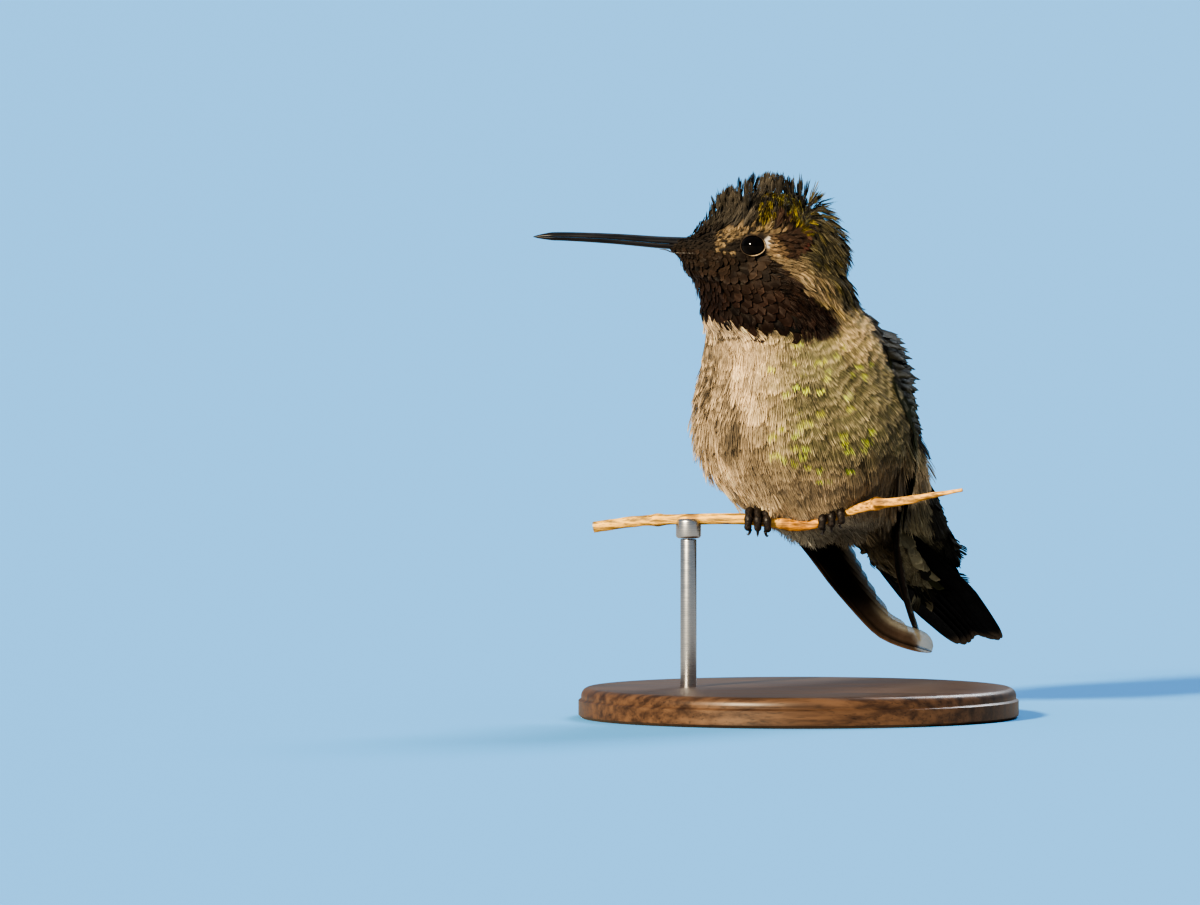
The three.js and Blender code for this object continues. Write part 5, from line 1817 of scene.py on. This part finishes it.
def make_twig():
    path = smooth_path(TWIG_STOPS, TWIG_RINGS)
    along = tangents_of(path)
    side = unit(np.cross(along, UP))
    up = np.cross(side, along)

    def section(share, angle):
        uneven = 1 + 0.05 * np.sin(2 * angle + share * 7) + 0.03 * np.sin(3 * angle - share * 11)
        radius = twig_radius(share) * uneven
        return radius * np.cos(angle), radius * np.sin(angle)

    points, quads, tris = loft(path, side, up, section, turns=TWIG_TURNS)
    axis = path[np.minimum(np.arange(len(points)) // TWIG_TURNS, TWIG_RINGS - 1)]
    axis[-2:] = points[-2:]
    normals = unit(points - axis)
    stretched = points * np.array([0.22, 1, 1])
    fibres = wobble(stretched, 0.55, 81) * 0.030 + wobble(stretched, 0.28, 83) * 0.016
    lumps = wobble(points, 2.2, 85) * 0.03
    frayed = blob(points, (0.2, 0, 25.4), (3.2, 9, 9)) ** 0.5
    crack = np.clip(wobble(stretched, 0.8, 87), -1, 1) * 0.07 * frayed
    points = points + normals * (fibres + lumps + crack)[:, None]
    piece = new_object("twig_bark", points, quads, tris)
    bare = np.clip(frayed * 0.9 + ramp(points[:, 0], 5.5, 8.5) * 0.35, 0, 1)
    colours = mix(even_colour([0.80, 0.48, 0.14], len(points)), (0.74, 0.33, 0.075), bare)
    knots = blob(points, (-14.0, 0, 26), (0.9, 4, 4))
    knots = np.maximum(knots, blob(points, (10.4, -3, 28.9), (0.9, 4, 4)))
    knots = np.maximum(knots, blob(points, (-1.8, 0, 25.8), (0.6, 4, 4)) * 0.7)
    colours = mix(colours, (0.13, 0.065, 0.03), 0.75 * knots ** 0.6)
    cut_x = corner_mm("perch_twig", 0)[0]
    colours = mix(colours, (0.62, 0.47, 0.28), ramp(points[:, 0], cut_x + 0.12, cut_x + 0.04))
    colours = colours * (1 + 0.12 * wobble(stretched, 1.6, 89))[:, None]
    add_tint(piece, colours)
    bark = Finish("twig_bark", Specular_IOR_Level=0.35)
    streak = bark.streaks((260, 2400, 2400), 5.0, 0.65)
    bark.colour(bark.tint()[0], bark.spread(streak, 0.36, 0.62, 0.30, 1.35))
    bark.rough(streak, 0.5, 0.7)
    bark.bump(streak, 0.8, 0.14)
    finish_piece(piece, bark.material, "twig_wood", "perch_twig")
    make_frayed_bark(bark.material)


def make_frayed_bark(material):
    """Loose fibres of bark that stand off the twig where its skin has peeled."""
    rng = np.random.default_rng(91)
    points, quads = [], []
    count = 0
    for _ in range(46):
        x = rng.uniform(-2.6, 2.0)
        angle = rng.uniform(-2.6, 0.6)
        heading = rng.choice([-1, 1])
        length = rng.uniform(0.5, 1.6)
        middle = np.array([x, 0.05, 25.45])
        out = np.array([0, -math.cos(angle), math.sin(angle)])
        steps = 5
        t = np.linspace(0, 1, steps + 1)
        spine = middle + out * (0.55 + 0.42 * t[:, None] ** 2 * rng.uniform(0.2, 1))
        spine = spine + np.array([heading, 0, 0]) * (length * t)[:, None]
        spine = spine + UP * (-0.15 * t ** 2)[:, None]
        across = unit(np.cross([1.0, 0, 0], out))
        wide = 0.055 * (1 - 0.8 * t)
        for sign, lift in ((-1, 0), (1, 0), (0, 0.05)):
            points.append(spine + across * (sign * wide)[:, None] + out * (lift * (1 - t))[:, None])
        ring = np.arange(steps + 1)
        for a, b in ((0, 1), (1, 2), (2, 0)):
            left = count + a * (steps + 1) + ring
            right = count + b * (steps + 1) + ring
            quads.append(np.stack([left[:-1], right[:-1], right[1:], left[1:]], axis=1))
        count += 3 * (steps + 1)
    points = np.concatenate(points)
    piece = new_object("twig_frayed_bark", points, np.concatenate(quads))
    add_tint(piece, even_colour([0.58, 0.32, 0.13], len(points)))
    finish_piece(piece, material, "twig_wood")


def turned(profile, middle, segments=96):
    """Closed turned form: profile is a list of (radius, height), from the axis round to the axis."""
    angle = round_angles(segments)
    x, y = middle[:2]
    rings = [np.stack([x + r * np.cos(angle), y + r * np.sin(angle), np.full(segments, h)], axis=1)
             for r, h in profile[1:-1]]
    ends = np.array([[x, y, profile[0][1]], [x, y, profile[-1][1]]])
    return np.concatenate(rings + [ends]), *tube_faces(len(rings), segments)


def arc_profile(centre, radius, start, end, count=8):
    return [(centre[0] + radius * math.cos(angle), centre[1] + radius * math.sin(angle))
            for angle in np.linspace(start, end, count)]


CREASE = math.radians(40)


def make_stand():
    low, high = corner_mm("stand_base", 0), corner_mm("stand_base", 1)
    radius = (high[0] - low[0]) / 2
    top = high[2]
    edge = 1.1
    inset = radius - 0.35
    profile = [(0, 0), (radius - 0.5, 0), (radius, 0.4)]
    profile += [(radius, top - edge - 0.6), (inset, top - edge - 0.35), (inset, top - edge)]
    profile += arc_profile((inset - edge, top - edge), edge, 0, math.pi / 2)
    profile += [(radius * share, top) for share in (0.8, 0.6, 0.4, 0.2)] + [(0, top)]
    walnut = Finish("stand_walnut", Specular_IOR_Level=0.45, Coat_Weight=0.15, Coat_Roughness=0.3)
    grain = walnut.streaks((50, 800, 800), 6.0, 0.6)
    pore = walnut.streaks((260, 3600, 3600), 2.0)
    brown = walnut.two_tone(grain, (0.040, 0.020, 0.011), (0.150, 0.082, 0.044))
    walnut.colour(brown, walnut.spread(pore, 0.30, 0.42, 0.55, 1.0))
    walnut.rough(grain, 0.36, 0.5)
    walnut.bump(pore, 0.25, 0.04)
    piece = new_object("stand_turned_base", *turned(profile, (low + high) / 2))
    mend(piece, crease=CREASE)
    finish_piece(piece, walnut.material, "stand_wood", "stand_base")
    steel = Finish("stand_steel", Metallic=1.0)
    lines = steel.streaks((500, 500, 16000), 3.0)
    steel.colour(steel.two_tone(lines, (0.50, 0.51, 0.52), (0.56, 0.57, 0.58)))
    steel.rough(lines, 0.26, 0.32)
    for node, rounding in (("stand_rod", 0.15), ("stand_saddle", 0.4)):
        low, high = corner_mm(node, 0), corner_mm(node, 1)
        radius = (high[0] - low[0]) / 2
        inset = radius - rounding
        profile = [(0, low[2]), (inset, low[2])]
        profile += arc_profile((inset, low[2] + rounding), rounding, -math.pi / 2, 0, 5)
        profile += arc_profile((inset, high[2] - rounding), rounding, 0, math.pi / 2, 5)
        profile += [(radius * 0.5, high[2]), (0, high[2])]
        piece = new_object(node.replace("stand_", "stand_steel_"),
                           *turned(profile, (low + high) / 2, 48))
        mend(piece, crease=CREASE)
        finish_piece(piece, steel.material, "stand_metal", node)


# ---------------------------------------------------------------- putting it together

BARE_BIRD = make_skin()
make_coat(BARE_BIRD)
make_gape(BARE_BIRD)
make_bill()
make_eyes()
make_wings()
make_tail()
make_feet()
make_twig()
make_stand()
